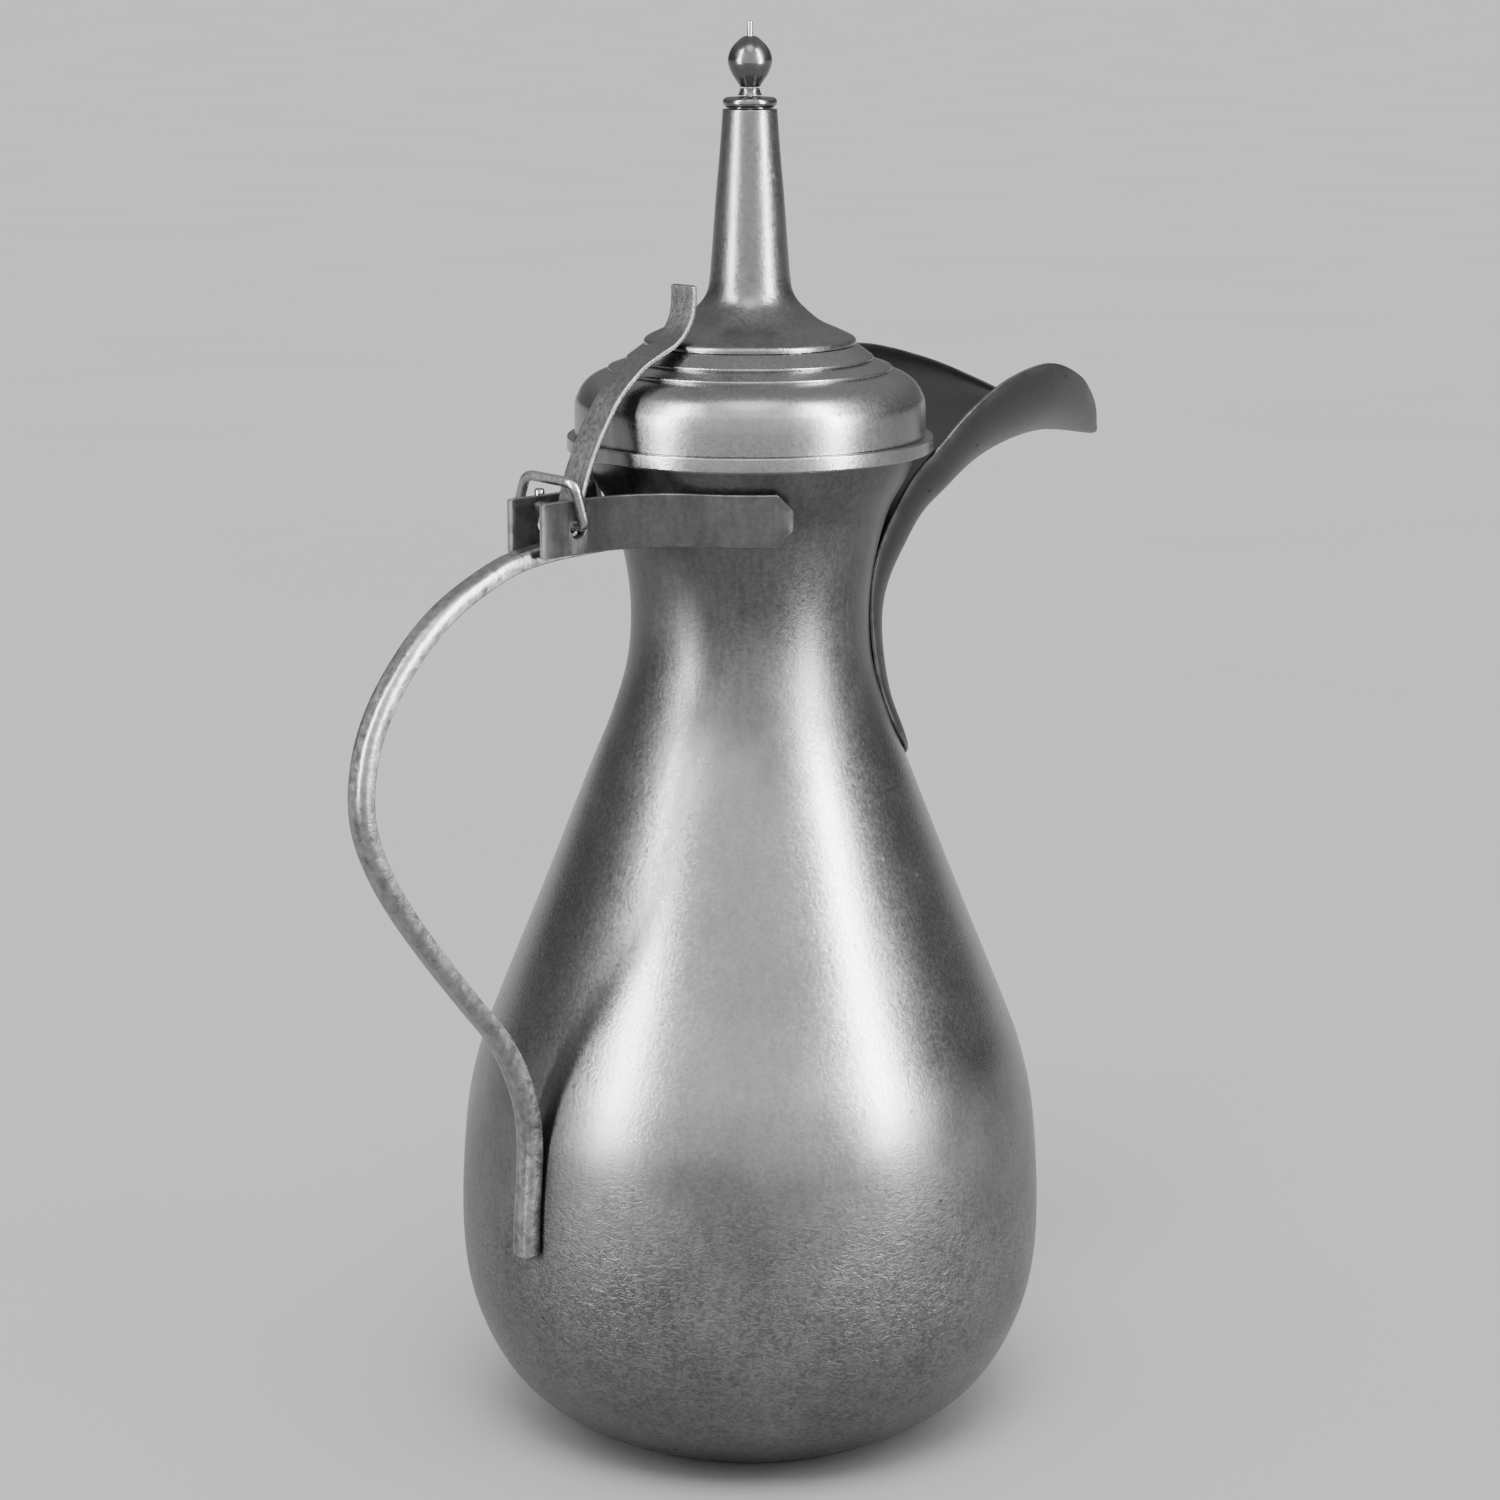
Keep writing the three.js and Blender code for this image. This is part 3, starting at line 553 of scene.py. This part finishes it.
def aged_metal(
    name, tone, roughness, grain_mm=1.0, grain=0.03, stain=0.04, wear=0.12, relief=1.0, by_height=False
):
    """Old pewter or steel: cloudy tone, fine grain, hairlines, pits, painted shade in hollows and
    creases, and rubbed edges.

    grain, stain and wear are the swings they give to the tone; relief scales the bumps.
    """
    g = Graph(name)
    clouds = g.noise(CLOUD_MM, detail=4, roughness=0.6)
    brushed = g.noise(BRUSHED_MM, detail=3, vector=g.stretched((1, 1, 0.16)))
    speckle = g.noise(grain_mm, detail=4, roughness=0.65, distortion=0.4)
    mottle = g.noise(MOTTLE_MM, detail=2, distortion=2.2, vector=g.stretched((0.8, 0.8, 1.35)))
    cells = g.node("TexVoronoi", {"Vector": g.position, "Scale": 1 / (PIT_SPACING_MM * MM)})
    pits = g.ramp(cells.outputs["Distance"], 0.02, 0.07, 1.0, 0.0)
    marks = g.math("MAXIMUM", *(scratches(g, *kind) for kind in SCRATCHES))
    edges = g.node("NewGeometry").outputs["Pointiness"]
    rubbed = g.ramp(g.noise(RUBBED_MM, detail=3), 0.3, 0.6, 0.35, 1.0)
    worn = g.math("MULTIPLY", g.ramp(edges, 0.505, 0.56), rubbed)
    # Painted shade: where the surface is concave, in creases and seams, the tone is darkened.
    crease_shade = g.ramp(edges, 0.44, 0.495, 1.0, 0.0)

    level = g.math("ADD", around_middle(g, clouds, stain * 2), tone)
    level = g.math("ADD", level, around_middle(g, speckle, grain * 2))
    level = g.math("ADD", level, around_middle(g, brushed, grain * 1.5))
    level = g.math("SUBTRACT", level, g.math("MULTIPLY", pits, tone * 0.4))
    # Darkens the creases and seams: painted shade.
    level = g.math("SUBTRACT", level, g.math("MULTIPLY", crease_shade, tone * 0.3))
    rough = g.math("ADD", around_middle(g, speckle, 0.05 + 0.3 * relief), roughness)
    rough = g.math("ADD", rough, around_middle(g, clouds, 0.14))
    rough = g.math("ADD", rough, g.math("MULTIPLY", pits, 0.2))
    normal = g.bump(speckle, 0.22 * relief, 0.6)
    normal = g.bump(brushed, 0.1 * relief, 0.5, normal)

    if by_height:
        leathery, foot, neck = height_masks(g, speckle)
        leather = g.math("MULTIPLY", g.ramp(mottle, 0.38, 0.62, -1.0, 1.0), leathery)
        level = g.math("ADD", level, g.math("MULTIPLY", leather, LEATHER_SWING))
        # The foot's loss of tone is painted shade; the neck's is its darker, duller finish. Both get
        # rougher.
        for mask, (darker, rougher) in ((foot, FOOT_SHADE_AND_DULLING), (neck, NECK_DULLING)):
            level = g.math("SUBTRACT", level, g.math("MULTIPLY", mask, tone * darker))
            rough = g.math("ADD", rough, g.math("MULTIPLY", mask, rougher))
        normal = g.bump(g.math("MULTIPLY", mottle, leathery), 0.3, 0.6, normal)

    level = g.math("ADD", level, g.math("MULTIPLY", worn, wear), clamp=True)
    rough = g.math("SUBTRACT", rough, g.math("MULTIPLY", worn, 0.08), clamp=True)
    normal = g.bump(g.math("ADD", pits, marks), 0.05, -0.6, normal)
    g.feed(g.shader.inputs["Base Color"], g.grey(level))
    g.feed(g.shader.inputs["Roughness"], rough)
    g.feed(g.shader.inputs["Normal"], normal)
    g.shader.inputs["Metallic"].default_value = 1.0
    return g.material


# ---- pieces ----------------------------------------------------------------------------------

def finish_piece(piece, node, body, material, shiny=True):
    """Holds a piece inside the CAD's box, gives it its metal, hangs it on its body and hides the CAD
    node it stands for.
    """
    if shiny:
        shiny_pieces.objects.link(piece)
    low, high = cad_bounds
    for vertex in piece.data.vertices:
        vertex.co = [min(max(c, a), b) for c, a, b in zip(vertex.co, low, high)]
    piece.data.materials.clear()
    piece.data.materials.append(material)
    weighted = piece.modifiers.new("even_normals", "WEIGHTED_NORMAL")
    weighted.keep_sharp = True
    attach(piece, body)
    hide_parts(node)


BODY_LINE = uniform_curve(BODY_PROFILE, 6)


def body_radius(z):
    """Outer radius of the body at a height."""
    for low, high in zip(BODY_LINE, BODY_LINE[1:]):
        if low.y <= z <= high.y:
            return low.x + (high.x - low.x) * (z - low.y) / (high.y - low.y)
    return BODY_LINE[-1].x


def body_shell():
    """The raised sheet with its pouring hole behind the spout."""
    outline = sheet_outline(BODY_LINE, SHEET, 0)
    outline[len(BODY_LINE) - 1].y = BODY_PROFILE[-1][1]
    outline[0] = Vector((BODY_PROFILE[0][0], SHEET))
    shell = turned("body_shell_visual", rounded(outline, BODY_EDGE_R), BODY_SEGMENTS)
    w, r = POUR_HALF_WIDTH, POUR_CORNER_R
    arch = [
        *arc((0, POUR_BOTTOM + w), w, 180, 360, 32),
        *arc((w - r, POUR_TOP - r), r, 0, 90, 8),
        *arc((r - w, POUR_TOP - r), r, 90, 180, 8),
    ]
    reach = BODY_PROFILE[-1][0] + r
    rings = [[Vector((x, p.x, p.y)) for p in arch] for x in (0, reach)]
    cut(shell, loft("pour_cutter", rings))
    return shell


def base_plate():
    """The disc soldered into the foot."""
    low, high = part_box("base_plate")
    radius, bottom, top = high.x / MM, low.z / MM, high.z / MM
    outline = rounded([(0, bottom), (radius, bottom), (radius, top), (0, top)], PLATE_EDGE_R)
    return turned("base_plate_visual", outline, BODY_SEGMENTS)


def spout_shell():
    """One curved sheet: a tongue up the neck that opens into the beak."""
    edge = []
    keel = []
    for degrees, z, keel_x, keel_z in SPOUT_ROOT:
        radius = body_radius(z) + SPOUT_STAND_OFF
        angle = math.radians(degrees)
        edge.append((radius * math.cos(angle), radius * math.sin(angle), z))
        keel.append((keel_x, 0, keel_z))
    for x, half_width, z, keel_x, keel_z in SPOUT_BEAK:
        edge.append((x, half_width, z))
        keel.append((keel_x, 0, keel_z))
    edge = centripetal_curve(edge, SPOUT_SPAN_STEPS)
    keel = eased(centripetal_curve(keel, SPOUT_SPAN_STEPS), KEEL_EASING)
    grid = []
    for i, (rim, low) in enumerate(zip(edge, keel)):
        blend = smooth_share(i / SPOUT_SPAN_STEPS, *SPOUT_ARC_CHANGE)
        half = math.radians(SPOUT_ROOT_ARC + (SPOUT_BEAK_ARC - SPOUT_ROOT_ARC) * blend)
        middle = Vector((rim.x, 0, rim.z))
        row = []
        for j in range(SPOUT_FACETS + 1):
            turn = half * (2 * j / SPOUT_FACETS - 1)
            share = (math.cos(turn) - math.cos(half)) / (1 - math.cos(half))
            point = middle + (low - middle) * share
            point.y = rim.y * math.sin(turn) / math.sin(half)
            row.append(point)
        grid.append(row)
    shell = loft("spout_shell_visual", [sheet_ring(grid, i) for i in range(len(grid))])
    clearance = [p - n * SPOUT_SEAM for p, n in zip(BODY_LINE, left_normals(BODY_LINE))]
    outline = [Vector((0, clearance[0].y)), *clearance, Vector((0, clearance[-1].y))]
    cut(shell, turned("neck_clearance", outline, BODY_SEGMENTS))
    return shell


def sheet_ring(grid, i):
    """One closed section of the spout's sheet: outside, rounded edge, inside, rounded edge."""
    row = grid[i]
    last = len(grid) - 1
    ahead, behind = grid[min(i + 1, last)], grid[max(i - 1, 0)]
    inside = []
    for j, point in enumerate(row):
        across = row[min(j + 1, len(row) - 1)] - row[max(j - 1, 0)]
        normal = (ahead[j] - behind[j]).cross(across).normalized()
        inside.append(point + normal * SPOUT_SHEET)
    ring = list(row)
    for outer, inner, neighbour in ((row[-1], inside[-1], row[-2]), (inside[0], row[0], inside[1])):
        outwards = (outer - neighbour).normalized() * SPOUT_SHEET / 3
        middle = (outer + inner) / 2
        for turn in (45, 90, 135):
            a = math.radians(turn)
            ring.append(middle + (outer - middle) * math.cos(a) + outwards * math.sin(a))
        if outer is row[-1]:
            ring += inside[::-1]
    return ring


def strap_plan(offset):
    """The near strap's line at an offset from its inner face, from the ear's end round the neck."""
    centre_y = -(EAR_INNER_Y + STRAP_FILLET)
    reach = WRAP_R + STRAP_FILLET
    centre_x = -math.sqrt(reach**2 - centre_y**2)
    touch = math.degrees(math.atan2(-centre_y, -centre_x))
    straight = [
        Vector((EAR_END_X + (centre_x - EAR_END_X) * k / 14, -EAR_INNER_Y - offset)) for k in range(14)
    ]
    bend = arc((centre_x, centre_y), STRAP_FILLET - offset, 90, touch, 24)
    wrap = arc((0, 0), WRAP_R + offset, 180 + touch, 180 + WRAP_END_DEG, 36)[1:]
    return straight + bend + wrap


def hinge_point():
    """The hinge's axis point in mm."""
    joint = next(j for j in frame["record"]["behaviour"]["joints"] if j["name"] == "lid_hinge")
    return Vector(joint["pos_m"]) / MM


def lean_to_neck(point, top):
    """Tilts the wrapped part of a strap inwards below its top edge, as the neck narrows."""
    radius = math.hypot(point.x, point.y)
    share = smooth_share(radius, *STRAP_LEAN_RADII)
    scale = 1 - share * (top - point.z) * STRAP_LEAN / radius
    return Vector((point.x * scale, point.y * scale, point.z))


def neck_strap(name, side):
    """A strap on the near side (side = 1) or its mirror image (side = -1), with its ear's hole."""
    low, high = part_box(name)
    bottom, top = low.z / MM, high.z / MM
    inner, outer = strap_plan(0), strap_plan(SHEET)
    section = rounded_rectangle(SHEET, STRAP_HEIGHT, STRAP_EDGE_R)
    lengths = [0]
    for p, q in zip(outer, outer[1:]):
        lengths.append(lengths[-1] + (q - p).length)
    rings = []
    for i, (a, b) in enumerate(zip(inner, outer)):
        left = lengths[-1] - lengths[i]
        height = 1 - 2 * max(STRAP_CHAMFER - left, 0) / STRAP_HEIGHT
        thickness = 1 / SHEET
        if i in (0, len(inner) - 1):
            height *= STRAP_END_SHARES[0]
            thickness *= STRAP_END_SHARES[1]
        ring = []
        for u, v in section:
            plan = a + (b - a) * (0.5 + u * thickness)
            z = (bottom + top) / 2 + v * height
            point = lean_to_neck(Vector((plan.x, plan.y, z)), top)
            ring.append(Vector((point.x, point.y * side, point.z)))
        rings.append(ring)
    strap = loft(name + "_visual", rings)
    cut(strap, hole_cutter(side))
    return strap


def hole_cutter(side):
    """A waisted bar that bores an ear's hole and flares both its rims."""
    flare, overhang = EAR_HOLE_FLARE, CUTTER_OVERHANG
    inner, outer = EAR_INNER_Y, EAR_INNER_Y + SHEET
    depths = (0, inner + flare, outer - flare, outer + overhang)
    radii = (EAR_HOLE_R + flare + inner, EAR_HOLE_R, EAR_HOLE_R, EAR_HOLE_R + flare + overhang)
    centre = hinge_point() + Vector((EAR_HOLE_OFFSET, 0, EAR_HOLE_OFFSET))
    rings = []
    for depth, radius in zip(depths, radii):
        circle = arc((0, 0), radius, 0, 360, 40)[:-1]
        rings.append([centre + Vector((p.x, -side * depth, p.y)) for p in circle])
    return loft("hole_cutter", rings)


def planar_frames(path):
    """Across is +Y, and outwards lies in the XZ plane on the right of the direction of travel."""
    frames = []
    for i in range(len(path)):
        along = (path[min(i + 1, len(path) - 1)] - path[max(i - 1, 0)]).normalized()
        frames.append((Vector((0, 1, 0)), Vector((along.z, 0, -along.x))))
    return frames


def carried_frames(path):
    """Directions that turn as little as possible along a path in space."""
    frames = []
    across = Vector((0, 0, 1))
    for i in range(len(path)):
        along = (path[min(i + 1, len(path) - 1)] - path[max(i - 1, 0)]).normalized()
        across = (across - along * across.dot(along)).normalized()
        frames.append((across, along.cross(across)))
    return frames


def in_xz(line):
    """A line of (x, height) points in space."""
    return [Vector((p.x, 0, p.y)) for p in line]


def handle_bar():
    """A bar with a flat inner and a rounded outer side, swept along its curve."""
    w, t = HANDLE_HALF_WIDTH, HANDLE_THICKNESS / 2
    shoulder = Vector((w, t * HANDLE_SHOULDER))
    crest = Vector((w * HANDLE_CREST, t))
    right = [Vector((w, -t)), *quadratic(shoulder, Vector((w, t)), crest, 8)]
    left = [Vector((-p.x, p.y)) for p in right[::-1]]
    section = rounded([*right, *left], HANDLE_EDGE_R)
    path = in_xz(centripetal_curve(HANDLE_PATH, 10))
    return swept("handle_bar_visual", path, planar_frames(path), section, HANDLE_END_BEVEL)


def rounded_path(corners, bend):
    """Straight lines with each corner drawn as a curve that starts at bend from it."""
    corners = [Vector(c) for c in corners]
    path = [corners[0]]
    for before, corner, after in zip(corners, corners[1:], corners[2:]):
        start = corner + (before - corner).normalized() * bend
        end = corner + (after - corner).normalized() * bend
        path += quadratic(start, corner, end, 10)
    path.append(corners[-1])
    spaced = [path[0]]
    for p, q in zip(path, path[1:]):
        pieces = max(1, round((q - p).length / WIRE_STEP))
        spaced += [p + (q - p) * k / pieces for k in range(1, pieces + 1)]
    return spaced


def hinge_wire():
    """One bent wire: the pin through both ears, then the loop over the lever."""
    x, _, z = hinge_point()
    pin = [(x, WIRE_PIN_REACH, z), (x, -WIRE_PIN_REACH, z)]
    path = rounded_path([WIRE_TAIL, *pin, *WIRE_LOOP], WIRE_BEND)
    section = arc((0, 0), WIRE_R, 0, 360, 20)[:-1]
    return swept("hinge_wire_visual", path, carried_frames(path), section, 0.5)


def lid_lever():
    """A strip hooked round the wire that runs up over the lid to a thumb tab."""
    x, _, z = hinge_point()
    hook = arc((x, z), HOOK_R, *HOOK_ARC, 8)
    path = in_xz(uniform_curve([*HOOK_TIP, *hook, *LEVER_PATH], 6))
    section = rounded_rectangle(LEVER_WIDTH, LEVER_SHEET, LEVER_EDGE_R)
    return swept("lid_lever_visual", path, planar_frames(path), section, LEVER_EDGE_R)


def lid_flange():
    low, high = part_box("lid_flange")
    bottom, top, outer = low.z / MM, high.z / MM, high.x / MM
    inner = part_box("lid_collar")[1].x / MM - SHEET
    lip = DOME_R - FLANGE_LIP
    outline = [
        (inner, bottom), (outer, bottom), (outer, top), (lip, top), (lip, bottom + SHEET),
        (inner, bottom + SHEET),
    ]
    return turned("lid_flange_visual", rounded(outline, PLATE_EDGE_R), LID_SEGMENTS)


def lid_collar():
    low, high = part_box("lid_collar")
    bottom, top, outer = low.z / MM, high.z / MM, high.x / MM
    outline = [(outer - SHEET, bottom), (outer, bottom), (outer, top), (outer - SHEET, top)]
    return turned("lid_collar_visual", rounded(outline, PLATE_EDGE_R), LID_SEGMENTS)


def lid_dome():
    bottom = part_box("lid_flange")[1].z / MM
    line = uniform_curve([(DOME_R, bottom), (DOME_R, DOME_WALL_TOP), *DOME_SHOULDER], 8)
    outline = rounded(sheet_outline(line, SHEET, 0), THIN_EDGE_R)
    return turned("lid_dome_visual", outline, LID_SEGMENTS)


def lid_lower_step():
    return turned("lid_lower_step_visual", rounded(LOWER_STEP, THIN_EDGE_R), LID_SEGMENTS)


def lid_upper_step():
    return turned("lid_upper_step_visual", rounded(UPPER_STEP, UPPER_STEP_EDGE_R), LID_SEGMENTS)


def spire_cone():
    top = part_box("spire_cone")[1].z / MM
    line = uniform_curve(SPIRE_LINE, 8)
    outline = sheet_outline(line, SPIRE_SHEET, 0)
    inside = outline[: len(line)]
    outside = outline[len(line) :]
    inside[0] = Vector((SPIRE_LINE[0][0] - SPIRE_SHEET, SPIRE_LINE[0][1]))
    inside[-1].y = top - SPIRE_SHEET
    bore = [Vector((BORE_R, top - SPIRE_SHEET)), Vector((BORE_R, top))]
    outline = rounded([*inside, *bore, *outside], SPIRE_EDGE_R)
    return turned("spire_cone_visual", outline, SPIRE_SEGMENTS)


def spire_collar():
    low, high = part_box("spire_collar")
    bottom, top, outer = low.z / MM, high.z / MM, high.x / MM
    below, above = COLLAR_RING_RADII
    bead = arc((outer - BEAD_R, (bottom + top) / 2), BEAD_R, *BEAD_ARC, 10)
    outline = [(BORE_R, bottom), (below, bottom), *bead, (above, top), (BORE_R, top)]
    return turned("spire_collar_visual", rounded(outline, THIN_EDGE_R), SPIRE_SEGMENTS)


def finial_neck():
    low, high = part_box("finial_neck")
    bottom, top = low.z / MM, high.z / MM
    line = [(radius, bottom + height) for radius, height in FINIAL_NECK_LINE]
    outline = [(BORE_R, bottom), *line, (FINIAL_NECK_TOP_R, top), (BORE_R, top)]
    return turned("finial_neck_visual", rounded(outline, FINIAL_NECK_EDGE_R), FINIAL_SEGMENTS)


def finial_ball():
    outer = uniform_curve(BALL_LINE, 6)
    bore = [Vector((BORE_R, outer[-1].y)), Vector((BORE_R, outer[0].y))]
    outline = rounded([*outer, *bore], THIN_EDGE_R)
    return turned("finial_ball_visual", outline, FINIAL_SEGMENTS)


def rod_washer():
    low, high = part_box("rod_washer")
    bottom, top, outer = low.z / MM, high.z / MM, high.x / MM
    outline = [(BORE_R, bottom), (outer, bottom), (outer, top), (BORE_R, top)]
    return turned("rod_washer_visual", rounded(outline, THIN_EDGE_R), FINIAL_SEGMENTS)


def finial_rod():
    low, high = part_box("finial_rod")
    bottom, top, head = low.z / MM, high.z / MM, high.x / MM
    shoulder = bottom + ROD_HEAD_HEIGHT
    outline = [
        (0, bottom), (head - ROD_BEVEL, bottom + ROD_BEVEL), (head, shoulder), (ROD_R, shoulder),
        (ROD_R, top - ROD_BEVEL), (ROD_R - ROD_BEVEL, top), (0, top),
    ]
    return turned("finial_rod_visual", rounded(outline, ROD_EDGE_R), ROD_SEGMENTS)


def make_pieces():
    """Makes every visible piece, body by body, each in its own metal."""
    metals = {name: aged_metal(name, **settings) for name, settings in METALS.items()}
    pewter_body, strap, wire = metals["pewter_body"], metals["strap_metal"], metals["wire_metal"]

    finish_piece(body_shell(), "body_shell", "pot", pewter_body)
    finish_piece(base_plate(), "base_plate", "pot", pewter_body)
    finish_piece(spout_shell(), "spout_shell", "pot", metals["pewter_spout_painted_shade"], shiny=False)
    for node, side in (("right_neck_strap", 1), ("left_neck_strap", -1)):
        finish_piece(neck_strap(node, side), node, "pot", strap, shiny=False)
    finish_piece(handle_bar(), "handle_bar", "pot", metals["handle_metal"])
    finish_piece(hinge_wire(), "hinge_wire", "wire", wire)
    finish_piece(lid_lever(), "lid_lever", "lid", metals["lever_metal"])
    for make in (lid_flange, lid_collar, lid_dome, lid_lower_step, lid_upper_step):
        finish_piece(make(), make.__name__, "lid", metals["pewter_lid"])
    finish_piece(spire_cone(), "spire_cone", "lid", metals["pewter_spire"])
    for make in (spire_collar, finial_neck, finial_ball):
        finish_piece(make(), make.__name__, "lid", metals["pewter_finial"])
    finish_piece(finial_rod(), "finial_rod", "lid", wire)
    finish_piece(rod_washer(), "rod_washer", "lid", strap)


# ---- studio ----------------------------------------------------------------------------------

def around_pot(turn, distance, height):
    """A place in metres, at an angle from the camera's side of the pot's axis."""
    angle = math.radians(CAMERA_AZIMUTH + turn)
    return Vector((math.cos(angle) * distance, math.sin(angle) * distance, height))


def make_camera():
    """A long lens on the handle's side, turned to the pot's axis and tilted down."""
    data = bpy.data.cameras.new("camera")
    data.lens = CAMERA_LENS
    data.sensor_width = 36
    data.clip_start = 0.01
    data.clip_end = 100
    camera = bpy.data.objects.new("camera", data)
    camera.location = around_pot(0, CAMERA_DISTANCE, CAMERA_HEIGHT)
    aim = -around_pot(0, 1, math.tan(math.radians(CAMERA_TILT)))
    camera.rotation_euler = aim.to_track_quat("-Z", "Y").to_euler()
    bpy.context.scene.collection.objects.link(camera)
    bpy.context.scene.camera = camera


def softbox(pieces, name, turn, distance, width, power):
    """An upright rectangular light that faces the pot's axis and reaches only the given pieces."""
    height = (LIGHT_BOTTOM + LIGHT_TOP) / 2
    data = bpy.data.lights.new(name, "AREA")
    data.shape = "RECTANGLE"
    data.size = width
    data.size_y = LIGHT_TOP - LIGHT_BOTTOM
    data.energy = power
    light = bpy.data.objects.new(name, data)
    place = around_pot(turn, distance, height)
    light.location = place
    light.rotation_euler = (Vector((0, 0, height)) - place).to_track_quat("-Z", "Y").to_euler()
    light.visible_camera = False
    light.light_linking.receiver_collection = pieces
    bpy.context.scene.collection.objects.link(light)


def make_lights():
    for strip in STRIP_LIGHTS:
        softbox(shiny_pieces, *strip)
    softbox(pot_pieces, *FRONT_PANEL)
    data = bpy.data.lights.new("high_soft_light", "SUN")
    data.energy = HIGH_LIGHT_ENERGY
    data.angle = math.radians(HIGH_LIGHT_SPREAD)
    sun = bpy.data.objects.new("high_soft_light", data)
    sun.rotation_euler = (-around_pot(0, HIGH_LIGHT_LEAN, 1)).to_track_quat("-Z", "Y").to_euler()
    bpy.context.scene.collection.objects.link(sun)


def make_world():
    """A dim room with a brighter ceiling."""
    world = bpy.data.worlds.new("studio")
    bpy.context.scene.world = world
    world.use_nodes = True
    tree = world.node_tree
    direction = tree.nodes.new("ShaderNodeTexCoord").outputs["Generated"]
    axes = tree.nodes.new("ShaderNodeSeparateXYZ")
    ceiling = tree.nodes.new("ShaderNodeMapRange")
    ceiling.interpolation_type = "SMOOTHSTEP"
    for socket, value in CEILING.items():
        ceiling.inputs[socket].default_value = value
    background = tree.nodes["Background"]
    background.inputs["Color"].default_value = (1, 1, 1, 1)
    tree.links.new(direction, axes.inputs[0])
    tree.links.new(axes.outputs["Z"], ceiling.inputs["Value"])
    tree.links.new(ceiling.outputs["Result"], background.inputs["Strength"])


def make_floor():
    """A wide, pale paper floor with a faint cloudiness."""
    r = FLOOR_REACH
    corners = [(-r, -r, 0), (r, -r, 0), (r, r, 0), (-r, r, 0)]
    mesh = bpy.data.meshes.new("floor")
    mesh.from_pydata([Vector(c) * MM for c in corners], [], [(0, 1, 2, 3)])
    floor = bpy.data.objects.new("floor", mesh)
    bpy.context.scene.collection.objects.link(floor)
    g = Graph("floor_paper")
    clouds = g.ramp(g.noise(300, detail=2), 0.3, 0.7, *FLOOR_GREYS)
    g.feed(g.shader.inputs["Base Color"], g.grey(clouds))
    g.shader.inputs["Roughness"].default_value = 0.9
    mesh.materials.append(g.material)


make_camera()
make_pieces()
make_lights()
make_world()
make_floor()
